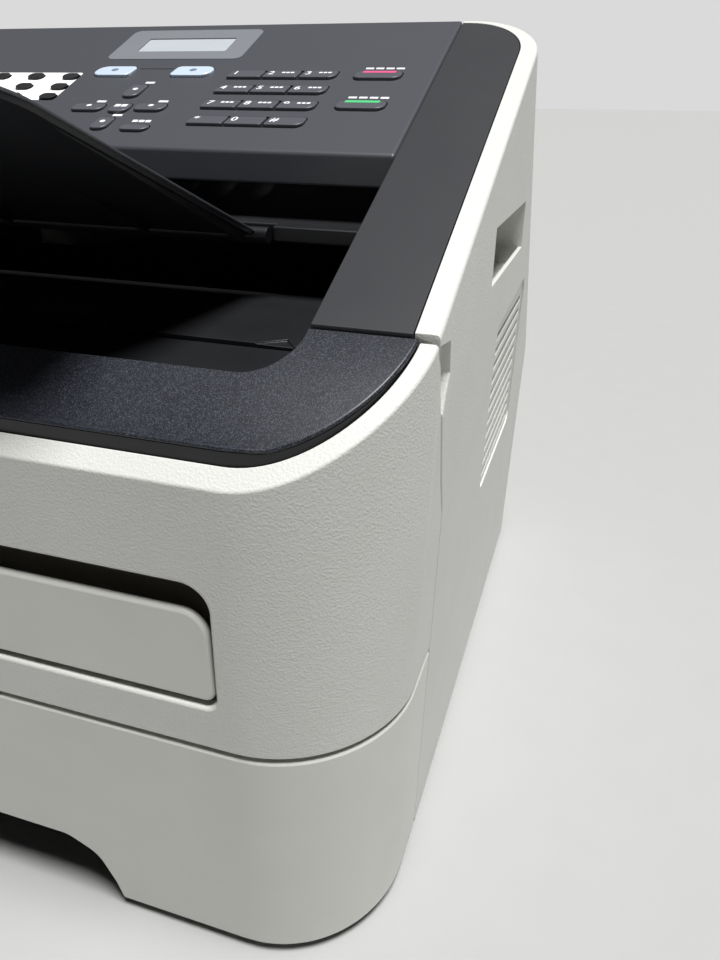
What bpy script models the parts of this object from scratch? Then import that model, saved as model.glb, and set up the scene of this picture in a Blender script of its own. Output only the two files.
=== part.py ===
"""Compact laser fax machine, modelled as separate sub-parts.

Run with: blender --background --python part.py
Driving dimensions are in millimetres: X points right, Y to the back and Z up.
"""
import math

import bmesh
import bpy
from mathutils import Matrix, Vector

MM = 0.001
GAP = 0.3                    # clearance between neighbouring pieces

# Overall body
WIDTH = 368.0
DEPTH = 360.0
HALF_W = WIDTH / 2
FRONT_Y = -DEPTH / 2
REAR_Y = DEPTH / 2
BODY_BOTTOM = 2.0
WALL = 4.0
FRONT_CORNER_R = 46.0
REAR_CORNER_R = 34.0
ARC_STEPS = 6

# Side profile of the body
ARM_FRONT = (-136.2, 218.0)  # where the arm meets the front cover
PEAK = (58.7, 306.0)         # rear edge of the control panel
REAR_KNEE_Z = 145.0          # foot of the rear slope
NOSE_Z = 187.0               # front edge of the top rim
SLOPE = math.atan2(PEAK[1] - ARM_FRONT[1], PEAK[0] - ARM_FRONT[0])
RIM = 7.0                    # width of the pale rim round the black top

# Seams
TRAY_TOP_Z = 94.4
COVER_BOTTOM_Z = 95.4
SEAM = [(ARM_FRONT[0], 330.0), (ARM_FRONT[0], 215.0), (-133.0, 210.0), (-126.0, 191.0),
        (-118.0, 167.0), (-111.0, 152.0), (-111.0, BODY_BOTTOM)]
ARM_INNER_X = 147.2
ARM_OUTER_X = HALF_W - 7.2
ARM_SKIN = 3.0

# Control panel
PANEL_FRONT_Y = -50.9
PANEL_SKIRT = 11.5
PANEL_SKIN = 3.0
PANEL_HALF_W = ARM_INNER_X - GAP
PANEL_HINGE = (54.0, 297.0)

# Output recess
RECESS_FRONT_Y = -154.5
RECESS_FLOOR_FRONT = (-111.0, 203.0)
RECESS_FLOOR_CREST = (-55.0, 205.5)
RECESS_FLOOR_REAR = (22.0, 172.0)

# Document output flap, shown raised
FLAP_HALF_W = 98.0
FLAP_AXIS = (-62.0, 228.5)
FLAP_ANGLE = math.radians(21.0)
FLAP_TIP_Y = -189.0
FLAP_THICKNESS = 2.4
FLAP_LENGTH = (FLAP_AXIS[0] - FLAP_TIP_Y) / math.cos(FLAP_ANGLE)

# The origin is the middle of the box round everything, so the body sits back by half the overhang.
BODY_SHIFT_Y = (FRONT_Y - FLAP_TIP_Y) / 2

# Front slot
SLOT_HALF_W = 133.6
SLOT_Z = (111.7, 155.6)
SLOT_COVER_TOP = 148.0

# Paper tray
TRAY_HALF_W = 150.0
TRAY_Y = (-150.0, 98.0)
TRAY_Z = (8.0, 60.0)
FINGER_RECESS_Z = 31.0

# Keys: centre across, centre up the panel from its front edge, width, length
KEY_RISE = 1.2
KEY_DEPTH = 4.0
KEY_CLEARANCE = 0.4
NUMBER_COLUMNS = (63.9, 80.5, 97.3)
NUMBER_ROWS = (63.6, 49.6, 35.8, 22.0)
NUMBER_SIZE = (15.4, 8.0)
NUMBER_NAMES = ("1", "2", "3", "4", "5", "6", "7", "8", "9", "star", "0", "hash")
OTHER_KEYS = {
    "stop_key": (123.0, 63.2, 20.0, 8.0),
    "start_key": (123.4, 36.6, 20.0, 8.0),
    "mode_key_left": (-2.8, 66.6, 19.0, 11.0),
    "mode_key_right": (37.0, 66.6, 19.0, 11.0),
    "up_key": (17.8, 47.0, 7.5, 13.0),
    "down_key": (17.8, 17.6, 7.5, 11.0),
    "left_key": (3.4, 31.4, 15.0, 7.5),
    "right_key": (33.0, 32.2, 14.0, 7.5),
    "ok_key": (19.0, 31.2, 9.0, 9.0),
    "menu_key": (34.6, 14.6, 12.5, 6.0),
}
ONE_TOUCH_COLUMNS = (-23.0, -42.0, -61.0, -80.0)
ONE_TOUCH_ROWS = (61.0, 50.6, 40.8)
ONE_TOUCH_SIZE = (12.0, 5.2)
LCD = (20.2, 95.8, 48.6, 16.8)
LCD_THICKNESS = 1.4

# Louvres and hand grip on the side covers
LOUVRE_COUNT = 11
LOUVRE_Z = (116.0, 182.0)
LOUVRE_Y = (-8.0, 78.0)
LOUVRE_HEIGHT = 3.2
GRIP_Y = (-45.6, 45.5)
GRIP_Z = (212.6, 233.2)
GRIP_DEPTH = 14.0

# Rear
REAR_COVER_HALF_W = 118.0
REAR_COVER_Z = (48.0, 138.0)
THROAT_REAR_Y = 81.0
SUPPORT_AXIS = (84.0, 277.0)
SUPPORT_LENGTH = 95.0
SUPPORT_HALF_W = 80.0
INLET_CENTRE_X = -118.0
INLET_Z = (18.0, 38.0)


# ---------------------------------------------------------------- scene helpers

def clear_scene():
    for item in list(bpy.data.objects):
        bpy.data.objects.remove(item, do_unlink=True)


def make_collection(name):
    collection = bpy.data.collections.new(name)
    bpy.context.scene.collection.children.link(collection)
    return collection


def make_material(name, colour, roughness, metallic=0.0):
    material = bpy.data.materials.new(name)
    material.use_nodes = True
    shader = material.node_tree.nodes["Principled BSDF"]
    shader.inputs["Base Color"].default_value = (*colour, 1.0)
    shader.inputs["Roughness"].default_value = roughness
    shader.inputs["Metallic"].default_value = metallic
    return material


def make_object(name, mesh, material=None):
    thing = bpy.data.objects.new(name, mesh)
    MACHINE.objects.link(thing)
    thing.parent = ROOT
    if material is not None:
        mesh.materials.clear()
        mesh.materials.append(material)
    return thing


def evaluated_mesh(thing):
    bpy.context.view_layer.update()
    graph = bpy.context.evaluated_depsgraph_get()
    return bpy.data.meshes.new_from_object(thing.evaluated_get(graph))


def bake(thing):
    """Replace the object's mesh with what its modifiers make of it."""
    mesh = evaluated_mesh(thing)
    thing.modifiers.clear()
    thing.data = mesh
    return thing


def combine(thing, other, operation):
    """Boolean the two solids, keep the result in the first and drop the second."""
    modifier = thing.modifiers.new(operation.lower(), "BOOLEAN")
    modifier.operation = operation
    modifier.solver = "EXACT"
    modifier.object = other
    bake(thing)
    bpy.data.objects.remove(other, do_unlink=True)
    return thing


def cut(thing, other):
    return combine(thing, other, "DIFFERENCE")


def join(thing, other):
    return combine(thing, other, "UNION")


def keep_inside(thing, other):
    return combine(thing, other, "INTERSECT")


def bevel(thing, width, segments=2, angle=30.0):
    modifier = thing.modifiers.new("bevel", "BEVEL")
    modifier.width = width * MM
    modifier.segments = segments
    modifier.limit_method = "ANGLE"
    modifier.angle_limit = math.radians(angle)
    return bake(thing)


def bevel_edges(thing, width, chosen, segments=ARC_STEPS):
    """Round only the edges for which chosen(start, end), in millimetres, is true."""
    mesh = thing.data
    weights = mesh.attributes.new("bevel_weight_edge", "FLOAT", "EDGE")
    for edge in mesh.edges:
        start, end = (mesh.vertices[index].co / MM for index in edge.vertices)
        weights.data[edge.index].value = 1.0 if chosen(start, end) else 0.0
    modifier = thing.modifiers.new("bevel", "BEVEL")
    modifier.width = width * MM
    modifier.segments = segments
    modifier.limit_method = "WEIGHT"
    return bake(thing)


def shade_round(thing):
    thing.data.shade_smooth()
    thing.data.set_sharp_from_angle(angle=math.radians(35.0))
    return thing


def set_origin(thing, point):
    """Move the object's origin to a point in millimetres without moving the solid."""
    offset = Vector(point) * MM
    thing.data.transform(Matrix.Translation(-offset))
    thing.location = offset
    return thing


# ---------------------------------------------------------------- shapes

def box(name, x, y, z, material=None):
    """Box between the limits x, y and z."""
    solid = bmesh.new()
    bmesh.ops.create_cube(solid, size=1.0)
    size = Matrix.Diagonal((x[1] - x[0], y[1] - y[0], z[1] - z[0], 1.0))
    centre = Matrix.Translation((sum(x) / 2, sum(y) / 2, sum(z) / 2))
    solid.transform(Matrix.Scale(MM, 4) @ centre @ size)
    mesh = bpy.data.meshes.new(name)
    solid.to_mesh(mesh)
    solid.free()
    return make_object(name, mesh, material)


def rod(name, radius, x, centre, material=None, sides=24):
    """Cylinder along X between the limits x, with its axis through centre (Y, Z)."""
    solid = bmesh.new()
    bmesh.ops.create_cone(solid, cap_ends=True, segments=sides, radius1=radius, radius2=radius,
                          depth=x[1] - x[0])
    turn = Matrix.Rotation(math.pi / 2, 4, "Y")
    place = Matrix.Translation((sum(x) / 2, centre[0], centre[1]))
    solid.transform(Matrix.Scale(MM, 4) @ place @ turn)
    mesh = bpy.data.meshes.new(name)
    solid.to_mesh(mesh)
    solid.free()
    return shade_round(make_object(name, mesh, material))


OUTLINE_FRAMES = {
    "X": Matrix(((0, 0, 1, 0), (1, 0, 0, 0), (0, 1, 0, 0), (0, 0, 0, 1))),
    "Y": Matrix(((1, 0, 0, 0), (0, 0, -1, 0), (0, 1, 0, 0), (0, 0, 0, 1))),
    "Z": Matrix.Identity(4),
}


def prism(name, outline, span, across="X", material=None):
    """Flat outline thickened over span along one axis.

    The outline is (Y, Z) across X, (X, Z) across Y and (X, Y) across Z.
    """
    curve = bpy.data.curves.new(name, "CURVE")
    curve.dimensions = "2D"
    curve.fill_mode = "BOTH"
    curve.extrude = abs(span[1] - span[0]) / 2 * MM
    spline = curve.splines.new("POLY")
    spline.points.add(len(outline) - 1)
    for point, (first, second) in zip(spline.points, outline):
        point.co = (first * MM, second * MM, 0.0, 1.0)
    spline.use_cyclic_u = True
    guide = bpy.data.objects.new(name + "_outline", curve)
    MACHINE.objects.link(guide)
    mesh = evaluated_mesh(guide)
    bpy.data.objects.remove(guide, do_unlink=True)
    solid = bmesh.new()
    solid.from_mesh(mesh)
    bmesh.ops.remove_doubles(solid, verts=solid.verts, dist=0.000001)
    bmesh.ops.dissolve_limit(solid, angle_limit=math.radians(0.5), verts=solid.verts, edges=solid.edges)
    middle = sum(span) / 2 * (-1 if across == "Y" else 1)
    solid.transform(OUTLINE_FRAMES[across] @ Matrix.Translation((0, 0, middle * MM)))
    bmesh.ops.recalc_face_normals(solid, faces=solid.faces)
    if solid.calc_volume(signed=True) < 0.0:
        bmesh.ops.reverse_faces(solid, faces=solid.faces)
    solid.to_mesh(mesh)
    solid.free()
    return make_object(name, mesh, material)


def arc(centre, radius, start, end, steps=ARC_STEPS):
    """Points along an arc, angles in degrees."""
    angles = [math.radians(start + (end - start) * step / steps) for step in range(steps + 1)]
    return [(centre[0] + radius * math.cos(a), centre[1] + radius * math.sin(a)) for a in angles]


def offset_outline(outline, distance):
    """Move every side of an anticlockwise outline inwards by distance."""
    moved = []
    count = len(outline)
    for index, corner in enumerate(outline):
        before = Vector(outline[index - 1])
        here = Vector(corner)
        after = Vector(outline[(index + 1) % count])
        first = (here - before).normalized()
        second = (after - here).normalized()
        normal = Vector((-first.y - second.y, first.x + second.x))
        inward = normal / (normal.length_squared / 2)
        moved.append(tuple(here + inward * distance))
    return moved


def rounded_front(half_width, front, rear, radius):
    """Plan outline with its two front corners rounded, anticlockwise from the rear left."""
    left = arc((-half_width + radius, front + radius), radius, 180.0, 270.0, ARC_STEPS + 2)
    right = arc((half_width - radius, front + radius), radius, 270.0, 360.0, ARC_STEPS + 2)
    return [(-half_width, rear)] + left + right + [(half_width, rear)]


def top_arc():
    """Side-view points of the front top, from the nose up to the arm."""
    chord = Vector((ARM_FRONT[0] - FRONT_Y, ARM_FRONT[1] - NOSE_Z))
    lean = math.atan2(chord.y, chord.x)
    turn = 2 * (lean - SLOPE)
    radius = chord.length / (2 * math.sin(turn / 2))
    centre = (ARM_FRONT[0] + radius * math.sin(SLOPE), ARM_FRONT[1] - radius * math.cos(SLOPE))
    rise = math.degrees(SLOPE) + 90.0
    return arc(centre, radius, rise + math.degrees(turn), rise)


def top_z(y):
    """Height of the front top surface at y."""
    points = top_arc()
    for start, end in zip(points, points[1:]):
        if start[0] <= y <= end[0]:
            return start[1] + (end[1] - start[1]) * (y - start[0]) / (end[0] - start[0])
    return ARM_FRONT[1]


def slope_z(y):
    """Height of the arm and panel top surface at y."""
    return ARM_FRONT[1] + (y - ARM_FRONT[0]) * math.tan(SLOPE)


def body_profile():
    """Side-view outline of the whole body, anticlockwise from the front bottom."""
    bottom = [(FRONT_Y, BODY_BOTTOM), (REAR_Y, BODY_BOTTOM)]
    rear = [(REAR_Y, REAR_KNEE_Z), PEAK]
    return bottom + rear + top_arc()[::-1]


def envelope(name, inset):
    """Solid of the body's outer shape, moved inwards by inset and open below when inset."""
    outline = offset_outline(body_profile(), inset)
    if inset:
        outline[0] = (outline[0][0], BODY_BOTTOM - 10.0)
        outline[1] = (outline[1][0], BODY_BOTTOM - 10.0)
    solid = prism(name, outline, (-HALF_W + inset, HALF_W - inset))
    peak_y = PEAK[0] - inset

    def on_rear_side(start, end):
        same_side = abs(start.x - end.x) < 0.1
        return same_side and min(start.y, end.y) > peak_y - 2.0 and abs(start.z - end.z) > 1.0

    bevel_edges(solid, REAR_CORNER_R - inset, on_rear_side)
    plan = rounded_front(HALF_W - inset, FRONT_Y + inset, REAR_Y + 5.0, FRONT_CORNER_R - inset)
    return keep_inside(solid, prism(name + "_plan", plan, (-20.0, 340.0), "Z"))


def shell_piece(name, material, *keepers):
    """Part of the body's wall that lies inside every keeper solid."""
    piece = make_object(name, SHELL.data.copy(), material)
    for keeper in keepers:
        keep_inside(piece, keeper)
    return shade_round(piece)


def seam_line(offset):
    return [(y + offset, z) for y, z in SEAM]


def strip_outline(start_y, end_y, top, bottom):
    """Side-view outline of a plate along the arm's slope, between two depths below its top."""
    drop_top = top / math.cos(SLOPE)
    drop_bottom = bottom / math.cos(SLOPE)
    return [(start_y, slope_z(start_y) - drop_bottom), (end_y, slope_z(end_y) - drop_bottom),
            (end_y, slope_z(end_y) - drop_top), (start_y, slope_z(start_y) - drop_top)]


def mirrored(thing, name):
    """Copy of the object on the other side of the middle plane."""
    mesh = thing.data.copy()
    mesh.transform(Matrix.Scale(-1.0, 4, (1, 0, 0)))
    mesh.flip_normals()
    return make_object(name, mesh)


# ---------------------------------------------------------------- casing

def make_front_cover():
    region = seam_line(-GAP)[:-1] + [(SEAM[-1][0] - GAP, COVER_BOTTOM_Z)]
    region += [(-210.0, COVER_BOTTOM_Z), (-210.0, 330.0)]
    cover = shell_piece("front_cover", WHITE, prism("front_region", region, (-200, 200)))
    inner = rounded_front(HALF_W - RIM, FRONT_Y + RIM, -90.0, FRONT_CORNER_R - RIM)
    cut(cover, prism("rim_opening", inner, (165.0, 260.0), "Z"))
    slot = box("slot_opening", (-SLOT_HALF_W, SLOT_HALF_W), (-190, -170), SLOT_Z)
    bevel_edges(slot, 9.0, lambda start, end: is_top_corner(start, end, SLOT_Z[1]), 4)
    cut(cover, slot)
    return set_origin(cover, (0, FRONT_Y + 1.6, COVER_BOTTOM_Z + 2.8))


def make_front_insert():
    inset = RIM + GAP
    front = FRONT_Y + inset
    rear = ARM_FRONT[0] - GAP
    levels = [front] + [point[0] for point in top_arc() if front < point[0] < rear] + [rear]
    upper = [(y, top_z(y)) for y in levels]
    lower = [(y, z - ARM_SKIN / math.cos(SLOPE)) for y, z in upper]
    insert = prism("front_top_insert", lower + upper[::-1], (-HALF_W, HALF_W), "X", BLACK)
    plan = rounded_front(HALF_W - inset, front, rear + 5.0, FRONT_CORNER_R - inset)
    keep_inside(insert, prism("insert_plan", plan, (160.0, 260.0), "Z"))
    recess = rounded_front(ARM_INNER_X, RECESS_FRONT_Y, -100.0, 14.0)
    cut(insert, prism("recess_plan", recess, (160.0, 260.0), "Z"))
    start = RECESS_FRONT_Y - 3.0
    end = RECESS_FLOOR_FRONT[0] - 0.6
    floor_z = RECESS_FLOOR_FRONT[1]
    band = [(start, top_z(start) - 4.0), (end, floor_z - ARM_SKIN), (end, floor_z),
            (start, top_z(start) - 1.0)]
    join(insert, prism("recess_band", band, (-PANEL_HALF_W, PANEL_HALF_W)))
    return shade_round(insert)


def make_slot_cover():
    half = SLOT_HALF_W - 2.0
    cover = box("manual_feed_cover", (-half, half), (FRONT_Y + 0.6, FRONT_Y + 3.6),
                (SLOT_Z[0] + 0.8, SLOT_COVER_TOP), WHITE)
    bevel_edges(cover, 8.0, lambda start, end: is_top_corner(start, end, SLOT_COVER_TOP), 4)
    return set_origin(cover, (0, FRONT_Y + 2.1, SLOT_Z[0] + 2.3))


def is_top_corner(start, end, top):
    """True for the edges that run to the back at a plate's two upper corners."""
    return abs(start.y - end.y) > 1.0 and min(start.z, end.z) > top - 0.1


def make_side_cover():
    region = seam_line(GAP)[:-1] + [(SEAM[-1][0] + GAP, BODY_BOTTOM - 5.0)]
    region += [(210.0, BODY_BOTTOM - 5.0), (210.0, 330.0)]
    side = prism("side_region", region, (ARM_INNER_X, 200.0))
    cover = shell_piece("side_cover_right", WHITE, side)
    rear_y = PEAK[0] - 2.5
    opening = prism("strip_opening", strip_outline(-150.0, rear_y, -12.0, 12.0), (130.0, ARM_OUTER_X))
    bevel_edges(opening, 28.0, lambda start, end: is_rear_outer(start, end, ARM_OUTER_X, rear_y))
    cut(cover, opening)
    pocket = box("grip_pocket", (HALF_W - GRIP_DEPTH - 2.0, HALF_W - 2.0),
                 (GRIP_Y[0] - 2.0, GRIP_Y[1] + 2.0), (GRIP_Z[0] - 2.0, GRIP_Z[1] + 2.0))
    join(cover, pocket)
    cut(cover, box("grip_hollow", (HALF_W - GRIP_DEPTH, HALF_W + 5.0), GRIP_Y, GRIP_Z))
    for index in range(LOUVRE_COUNT):
        z = LOUVRE_Z[0] + (LOUVRE_Z[1] - LOUVRE_Z[0]) * index / (LOUVRE_COUNT - 1)
        height = (z - LOUVRE_HEIGHT / 2, z + LOUVRE_HEIGHT / 2)
        cut(cover, box("louvre", (HALF_W - 10.0, HALF_W + 5.0), LOUVRE_Y, height))
    notch = [(-127.0, 192.0), (-117.0, 195.0), (-122.0, 213.0), (-140.0, 213.0), (-140.0, 206.0)]
    cut(cover, prism("finger_notch", notch, (HALF_W - 2.5, HALF_W + 5.0)))
    return shade_round(cover)


def is_rear_outer(start, end, outer_x, rear_y):
    """True for the short upright edge at a strip's rear outer corner."""
    at_side = min(start.x, end.x) > outer_x - 0.1
    at_rear = min(start.y, end.y) > rear_y - 0.1
    return at_side and at_rear


def make_arm_cover():
    front_y = ARM_FRONT[0] + GAP
    rear_y = PEAK[0] - 2.8
    outer_x = ARM_OUTER_X - GAP
    arm = prism("arm_cover_right", strip_outline(front_y, rear_y, 0.0, ARM_SKIN), (ARM_INNER_X, outer_x))
    bevel_edges(arm, 28.0, lambda start, end: is_rear_outer(start, end, outer_x, rear_y))
    wall_top = strip_outline(front_y, rear_y - 0.5, 1.0, 1.0)
    low_z = RECESS_FLOOR_REAR[1] - 4.0
    floor_y = RECESS_FLOOR_FRONT[0]
    wall = [(rear_y - 0.5, low_z), wall_top[1], wall_top[0], (front_y, 206.0),
            (floor_y, RECESS_FLOOR_FRONT[1] - 2.0), (floor_y, low_z)]
    join(arm, prism("arm_wall", wall, (ARM_INNER_X, ARM_INNER_X + ARM_SKIN)))
    arm.data.materials.clear()
    arm.data.materials.append(GREY)
    return shade_round(arm)


def make_tray_front():
    region = box("tray_region", (-200, 200), (-210, SEAM[-1][0] - GAP), (BODY_BOTTOM + 2.0, TRAY_TOP_Z))
    front = shell_piece("tray_front", WHITE, region)
    recess = [(-88.0, 0.0), (88.0, 0.0), (84.0, 12.0), (78.0, 25.0), (66.0, FINGER_RECESS_Z),
              (-66.0, FINGER_RECESS_Z), (-78.0, 25.0), (-84.0, 12.0)]
    cut(front, prism("finger_recess", recess, (-190.0, -170.0), "Y"))
    return front


def make_rear_housing():
    region = box("rear_region", (-PANEL_HALF_W, PANEL_HALF_W), (THROAT_REAR_Y, 200), (-5, 330))
    housing = shell_piece("rear_housing", WHITE, region)
    cut(housing, box("rear_opening", (-REAR_COVER_HALF_W, REAR_COVER_HALF_W), (170, 190), REAR_COVER_Z))
    half = 14.0 + GAP
    inlet_z = (INLET_Z[0] - GAP, INLET_Z[1] + GAP)
    cut(housing, box("inlet_opening", (INLET_CENTRE_X - half, INLET_CENTRE_X + half), (170, 190), inlet_z))
    for x in (96.0, 118.0):
        cut(housing, box("line_socket", (x - 6.0, x + 6.0), (REAR_Y - 3.0, 190), (20.0, 31.0)))
    return shade_round(housing)


def make_rear_cover():
    half = REAR_COVER_HALF_W - GAP
    height = (REAR_COVER_Z[0] + 0.8, REAR_COVER_Z[1] - GAP)
    cover = box("rear_cover", (-half, half), (REAR_Y - WALL + GAP, REAR_Y), height, WHITE)
    cut(cover, box("rear_pull", (-18, 18), (REAR_Y - 2.0, 190), (REAR_COVER_Z[1] - 14.0, 200)))
    return set_origin(cover, (0, REAR_Y - 1.6, REAR_COVER_Z[0] + 2.6))


# ---------------------------------------------------------------- chassis and paper path

def make_main_frame():
    frame = box("main_frame", (-158, 158), (-108, 172), (3, 99), STEEL)
    cut(frame, box("tray_tunnel", (-152, 152), (-115, 102), (7, 93)))
    cut(frame, box("supply_bay", (-150, 150), (107, 180), (8, 93)))
    for side in (-1, 1):
        plate_x = sorted((side * 155.0, side * 158.0))
        join(frame, box("side_plate", plate_x, (-60, 125), (95, 200)))
        for y in (-85.0, 150.0):
            foot = rod("foot", 11.0, (-2.2, 2.2), (0.0, 0.0), None, 16)
            foot.data.transform(Matrix.Rotation(math.pi / 2, 4, "Y"))
            foot.data.transform(Matrix.Translation((side * 0.14, y * MM, 2.2 * MM)))
            join(frame, foot)
    return frame


def make_paper_tray():
    tray = box("paper_tray", (-TRAY_HALF_W, TRAY_HALF_W), TRAY_Y, TRAY_Z, DARK)
    inside = (TRAY_Y[0] + 3.0, TRAY_Y[1] - 3.0)
    cut(tray, box("tray_inside", (-TRAY_HALF_W + 3, TRAY_HALF_W - 3), inside, (TRAY_Z[0] + 3.0, 70)))
    flange = (FRONT_Y + WALL + GAP, TRAY_Y[0] + 1.0)
    join(tray, box("tray_flange", (-140, 140), flange, (42, TRAY_Z[1])))
    return tray


def make_lift_plate():
    plate = box("lift_plate", (-60, 60), (-130, 70), (12.2, 13.7), STEEL)
    return set_origin(plate, (0, 68.0, 13.0))


def make_paper_guide():
    guide = box("paper_guide_right", (106, 108.5), (-60, 30), (12.0, 45.0), DARK)
    join(guide, box("guide_foot", (107, 124), (-40, 10), (12.0, 14.0)))
    return guide


def make_recess_floor():
    front_y, front_z = RECESS_FLOOR_FRONT
    crest_y, crest_z = RECESS_FLOOR_CREST
    rear_y, rear_z = RECESS_FLOOR_REAR
    top = [(front_y, front_z), (crest_y, crest_z), (rear_y, rear_z), (rear_y + 16.0, rear_z + 6.0),
           (rear_y + 24.0, rear_z + 26.0)]
    under = [(rear_y + 27.0, rear_z + 26.0), (rear_y + 19.0, rear_z + 4.0), (rear_y, rear_z - 3.0),
             (crest_y, crest_z - 3.2), (front_y, front_z - 3.0)]
    return prism("output_tray_panel", under[::-1] + top[::-1],
                 (-PANEL_HALF_W, PANEL_HALF_W), "X", BLACK)


def make_document_chute():
    top = [(-60.0, 231.5), (-46.0, 233.2), (50.0, 276.5), (80.0, 282.0)]
    under = [(-60.0, 226.0), (-52.0, 226.0), (-40.0, 229.0), (52.0, 272.0), (80.0, 278.0)]
    chute = prism("document_chute", under + top[::-1], (-PANEL_HALF_W, PANEL_HALF_W), "X", BLACK)
    half = FLAP_HALF_W + 5.0
    cut(chute, box("flap_notch", (-half, half), (-70.0, -56.0), (215.0, 240.0)))
    return chute


def make_output_flap():
    along = Vector((-math.cos(FLAP_ANGLE), math.sin(FLAP_ANGLE)))
    normal = Vector((along.y, -along.x)) * (FLAP_THICKNESS / 2)
    axis = Vector(FLAP_AXIS)
    tip = axis + along * (FLAP_LENGTH - abs(normal.x) / math.cos(FLAP_ANGLE))
    plate = [tuple(point) for point in (axis - normal, axis + normal, tip + normal, tip - normal)]
    flap = prism("output_flap", plate, (-FLAP_HALF_W, FLAP_HALF_W), "X", BLACK)
    bevel_edges(flap, 14.0, lambda start, end: is_flap_corner(start, end), 4)
    join(flap, rod("flap_barrel", 3.0, (-FLAP_HALF_W - 4.7, FLAP_HALF_W + 4.7), FLAP_AXIS, None, 12))
    return set_origin(flap, (0, *FLAP_AXIS))


def is_flap_corner(start, end):
    """True for the short edges at the flap's two free corners."""
    return abs(start.x - end.x) < 0.1 and max(start.y, end.y) < FLAP_TIP_Y + 5.0


# ---------------------------------------------------------------- control panel

def on_panel(x, s, h):
    """Point above the panel's surface: x across, s up from its front edge, h out of it."""
    y = PANEL_FRONT_Y + s * math.cos(SLOPE) - h * math.sin(SLOPE)
    z = slope_z(PANEL_FRONT_Y) + s * math.sin(SLOPE) + h * math.cos(SLOPE)
    return Vector((x, y, z))


def panel_block(name, centre, size, depth, material=None, round_to=0.0):
    """Block square to the panel: centre and size across and up it, depth from bottom to top."""
    half_x, half_s = size[0] / 2, size[1] / 2
    block = box(name, (-half_x, half_x), (-half_s, half_s), depth, material)
    if round_to:
        bevel_edges(block, round_to, lambda start, end: abs(start.z - end.z) > 0.5, 3)
    block.rotation_euler.x = SLOPE
    block.location = on_panel(centre[0], centre[1], 0.0) * MM
    return block


def key_sizes():
    """Name to (x, s, width, length) of every separate key."""
    keys = dict(OTHER_KEYS)
    cells = [(x, s) for s in NUMBER_ROWS for x in NUMBER_COLUMNS]
    for name, (x, s) in zip(NUMBER_NAMES, cells):
        keys["number_key_" + name] = (x, s, *NUMBER_SIZE)
    return keys


def make_keys():
    for name, (x, s, width, length) in key_sizes().items():
        colour = {"stop_key": RED, "start_key": GREEN}.get(name, BLUE if "mode" in name else BLACK)
        depth = (-KEY_DEPTH, KEY_RISE)
        panel_block(name, (x, s), (width, length), depth, colour, min(width, length) * 0.4)


def one_touch_centres():
    return [(x, s) for x in ONE_TOUCH_COLUMNS for s in ONE_TOUCH_ROWS]


def make_one_touch_keys():
    centre_x = (ONE_TOUCH_COLUMNS[0] + ONE_TOUCH_COLUMNS[-1]) / 2
    centre_s = (ONE_TOUCH_ROWS[0] + ONE_TOUCH_ROWS[-1]) / 2
    width = ONE_TOUCH_COLUMNS[0] - ONE_TOUCH_COLUMNS[-1] + 16.0
    length = ONE_TOUCH_ROWS[0] - ONE_TOUCH_ROWS[-1] + 9.0
    mat_top = -PANEL_SKIN - 1.4
    mat = panel_block("one_touch_keys", (centre_x, centre_s), (width, length), (mat_top - 1.5, mat_top), BLACK)
    for x, s in one_touch_centres():
        join(mat, panel_block("one_touch", (x, s), ONE_TOUCH_SIZE, (mat_top - 1.0, 0.8), None, 2.0))
    return mat


def make_control_panel():
    front, rear = PANEL_FRONT_Y, PEAK[0] - 0.2
    outer = [(front, slope_z(front) - PANEL_SKIRT), (rear, slope_z(rear) - PANEL_SKIRT),
             (rear, slope_z(rear)), (front, slope_z(front))]
    panel = prism("control_panel", outer, (-PANEL_HALF_W, PANEL_HALF_W), "X", GREY)
    inner = strip_outline(front + 3.0, rear - 3.0, PANEL_SKIN, PANEL_SKIRT + 20.0)
    cut(panel, prism("panel_inside", inner, (-PANEL_HALF_W + 3.0, PANEL_HALF_W - 3.0)))
    for x, s, width, length in key_sizes().values():
        size = (width + 2 * KEY_CLEARANCE, length + 2 * KEY_CLEARANCE)
        cut(panel, panel_block("key_hole", (x, s), size, (-8.0, 5.0), None, min(size) * 0.4))
    for x, s in one_touch_centres():
        size = (ONE_TOUCH_SIZE[0] + 2 * KEY_CLEARANCE, ONE_TOUCH_SIZE[1] + 2 * KEY_CLEARANCE)
        cut(panel, panel_block("key_hole", (x, s), size, (-8.0, 5.0), None, 2.0))
    x, s, width, length = LCD
    size = (width + GAP * 2, length + GAP * 2)
    cut(panel, panel_block("lcd_pocket", (x, s), size, (-LCD_THICKNESS - 0.5, 5.0)))
    panel_block("lcd_window", (x, s), (width, length), (-LCD_THICKNESS - 0.2, -0.2), GLASS)
    return set_origin(panel, (0, *PANEL_HINGE))


# ---------------------------------------------------------------- document inlet

def make_document_support():
    fall = math.atan2(PEAK[1] - REAR_KNEE_Z, REAR_Y - PEAK[0])
    along = Vector((math.cos(fall), -math.sin(fall)))
    normal = Vector((along.y, -along.x)) * 1.5
    axis = Vector(SUPPORT_AXIS)
    end = axis + along * SUPPORT_LENGTH
    plate = [tuple(point) for point in (axis + normal, end + normal, end - normal, axis - normal)]
    support = prism("document_support", plate, (-SUPPORT_HALF_W, SUPPORT_HALF_W), "X", BLACK)
    join(support, rod("support_barrel", 2.4, (-SUPPORT_HALF_W - 5, SUPPORT_HALF_W + 5), SUPPORT_AXIS, None, 12))
    return set_origin(support, (0, *SUPPORT_AXIS))


def make_document_guide():
    guide = box("document_guide_right", (105.5, 108.0), (67.0, 79.0), (283.0, 297.0), BLACK)
    join(guide, box("guide_foot", (106.0, 120.0), (69.0, 79.0), (283.0, 284.6)))
    return guide


# ---------------------------------------------------------------- engine

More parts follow.
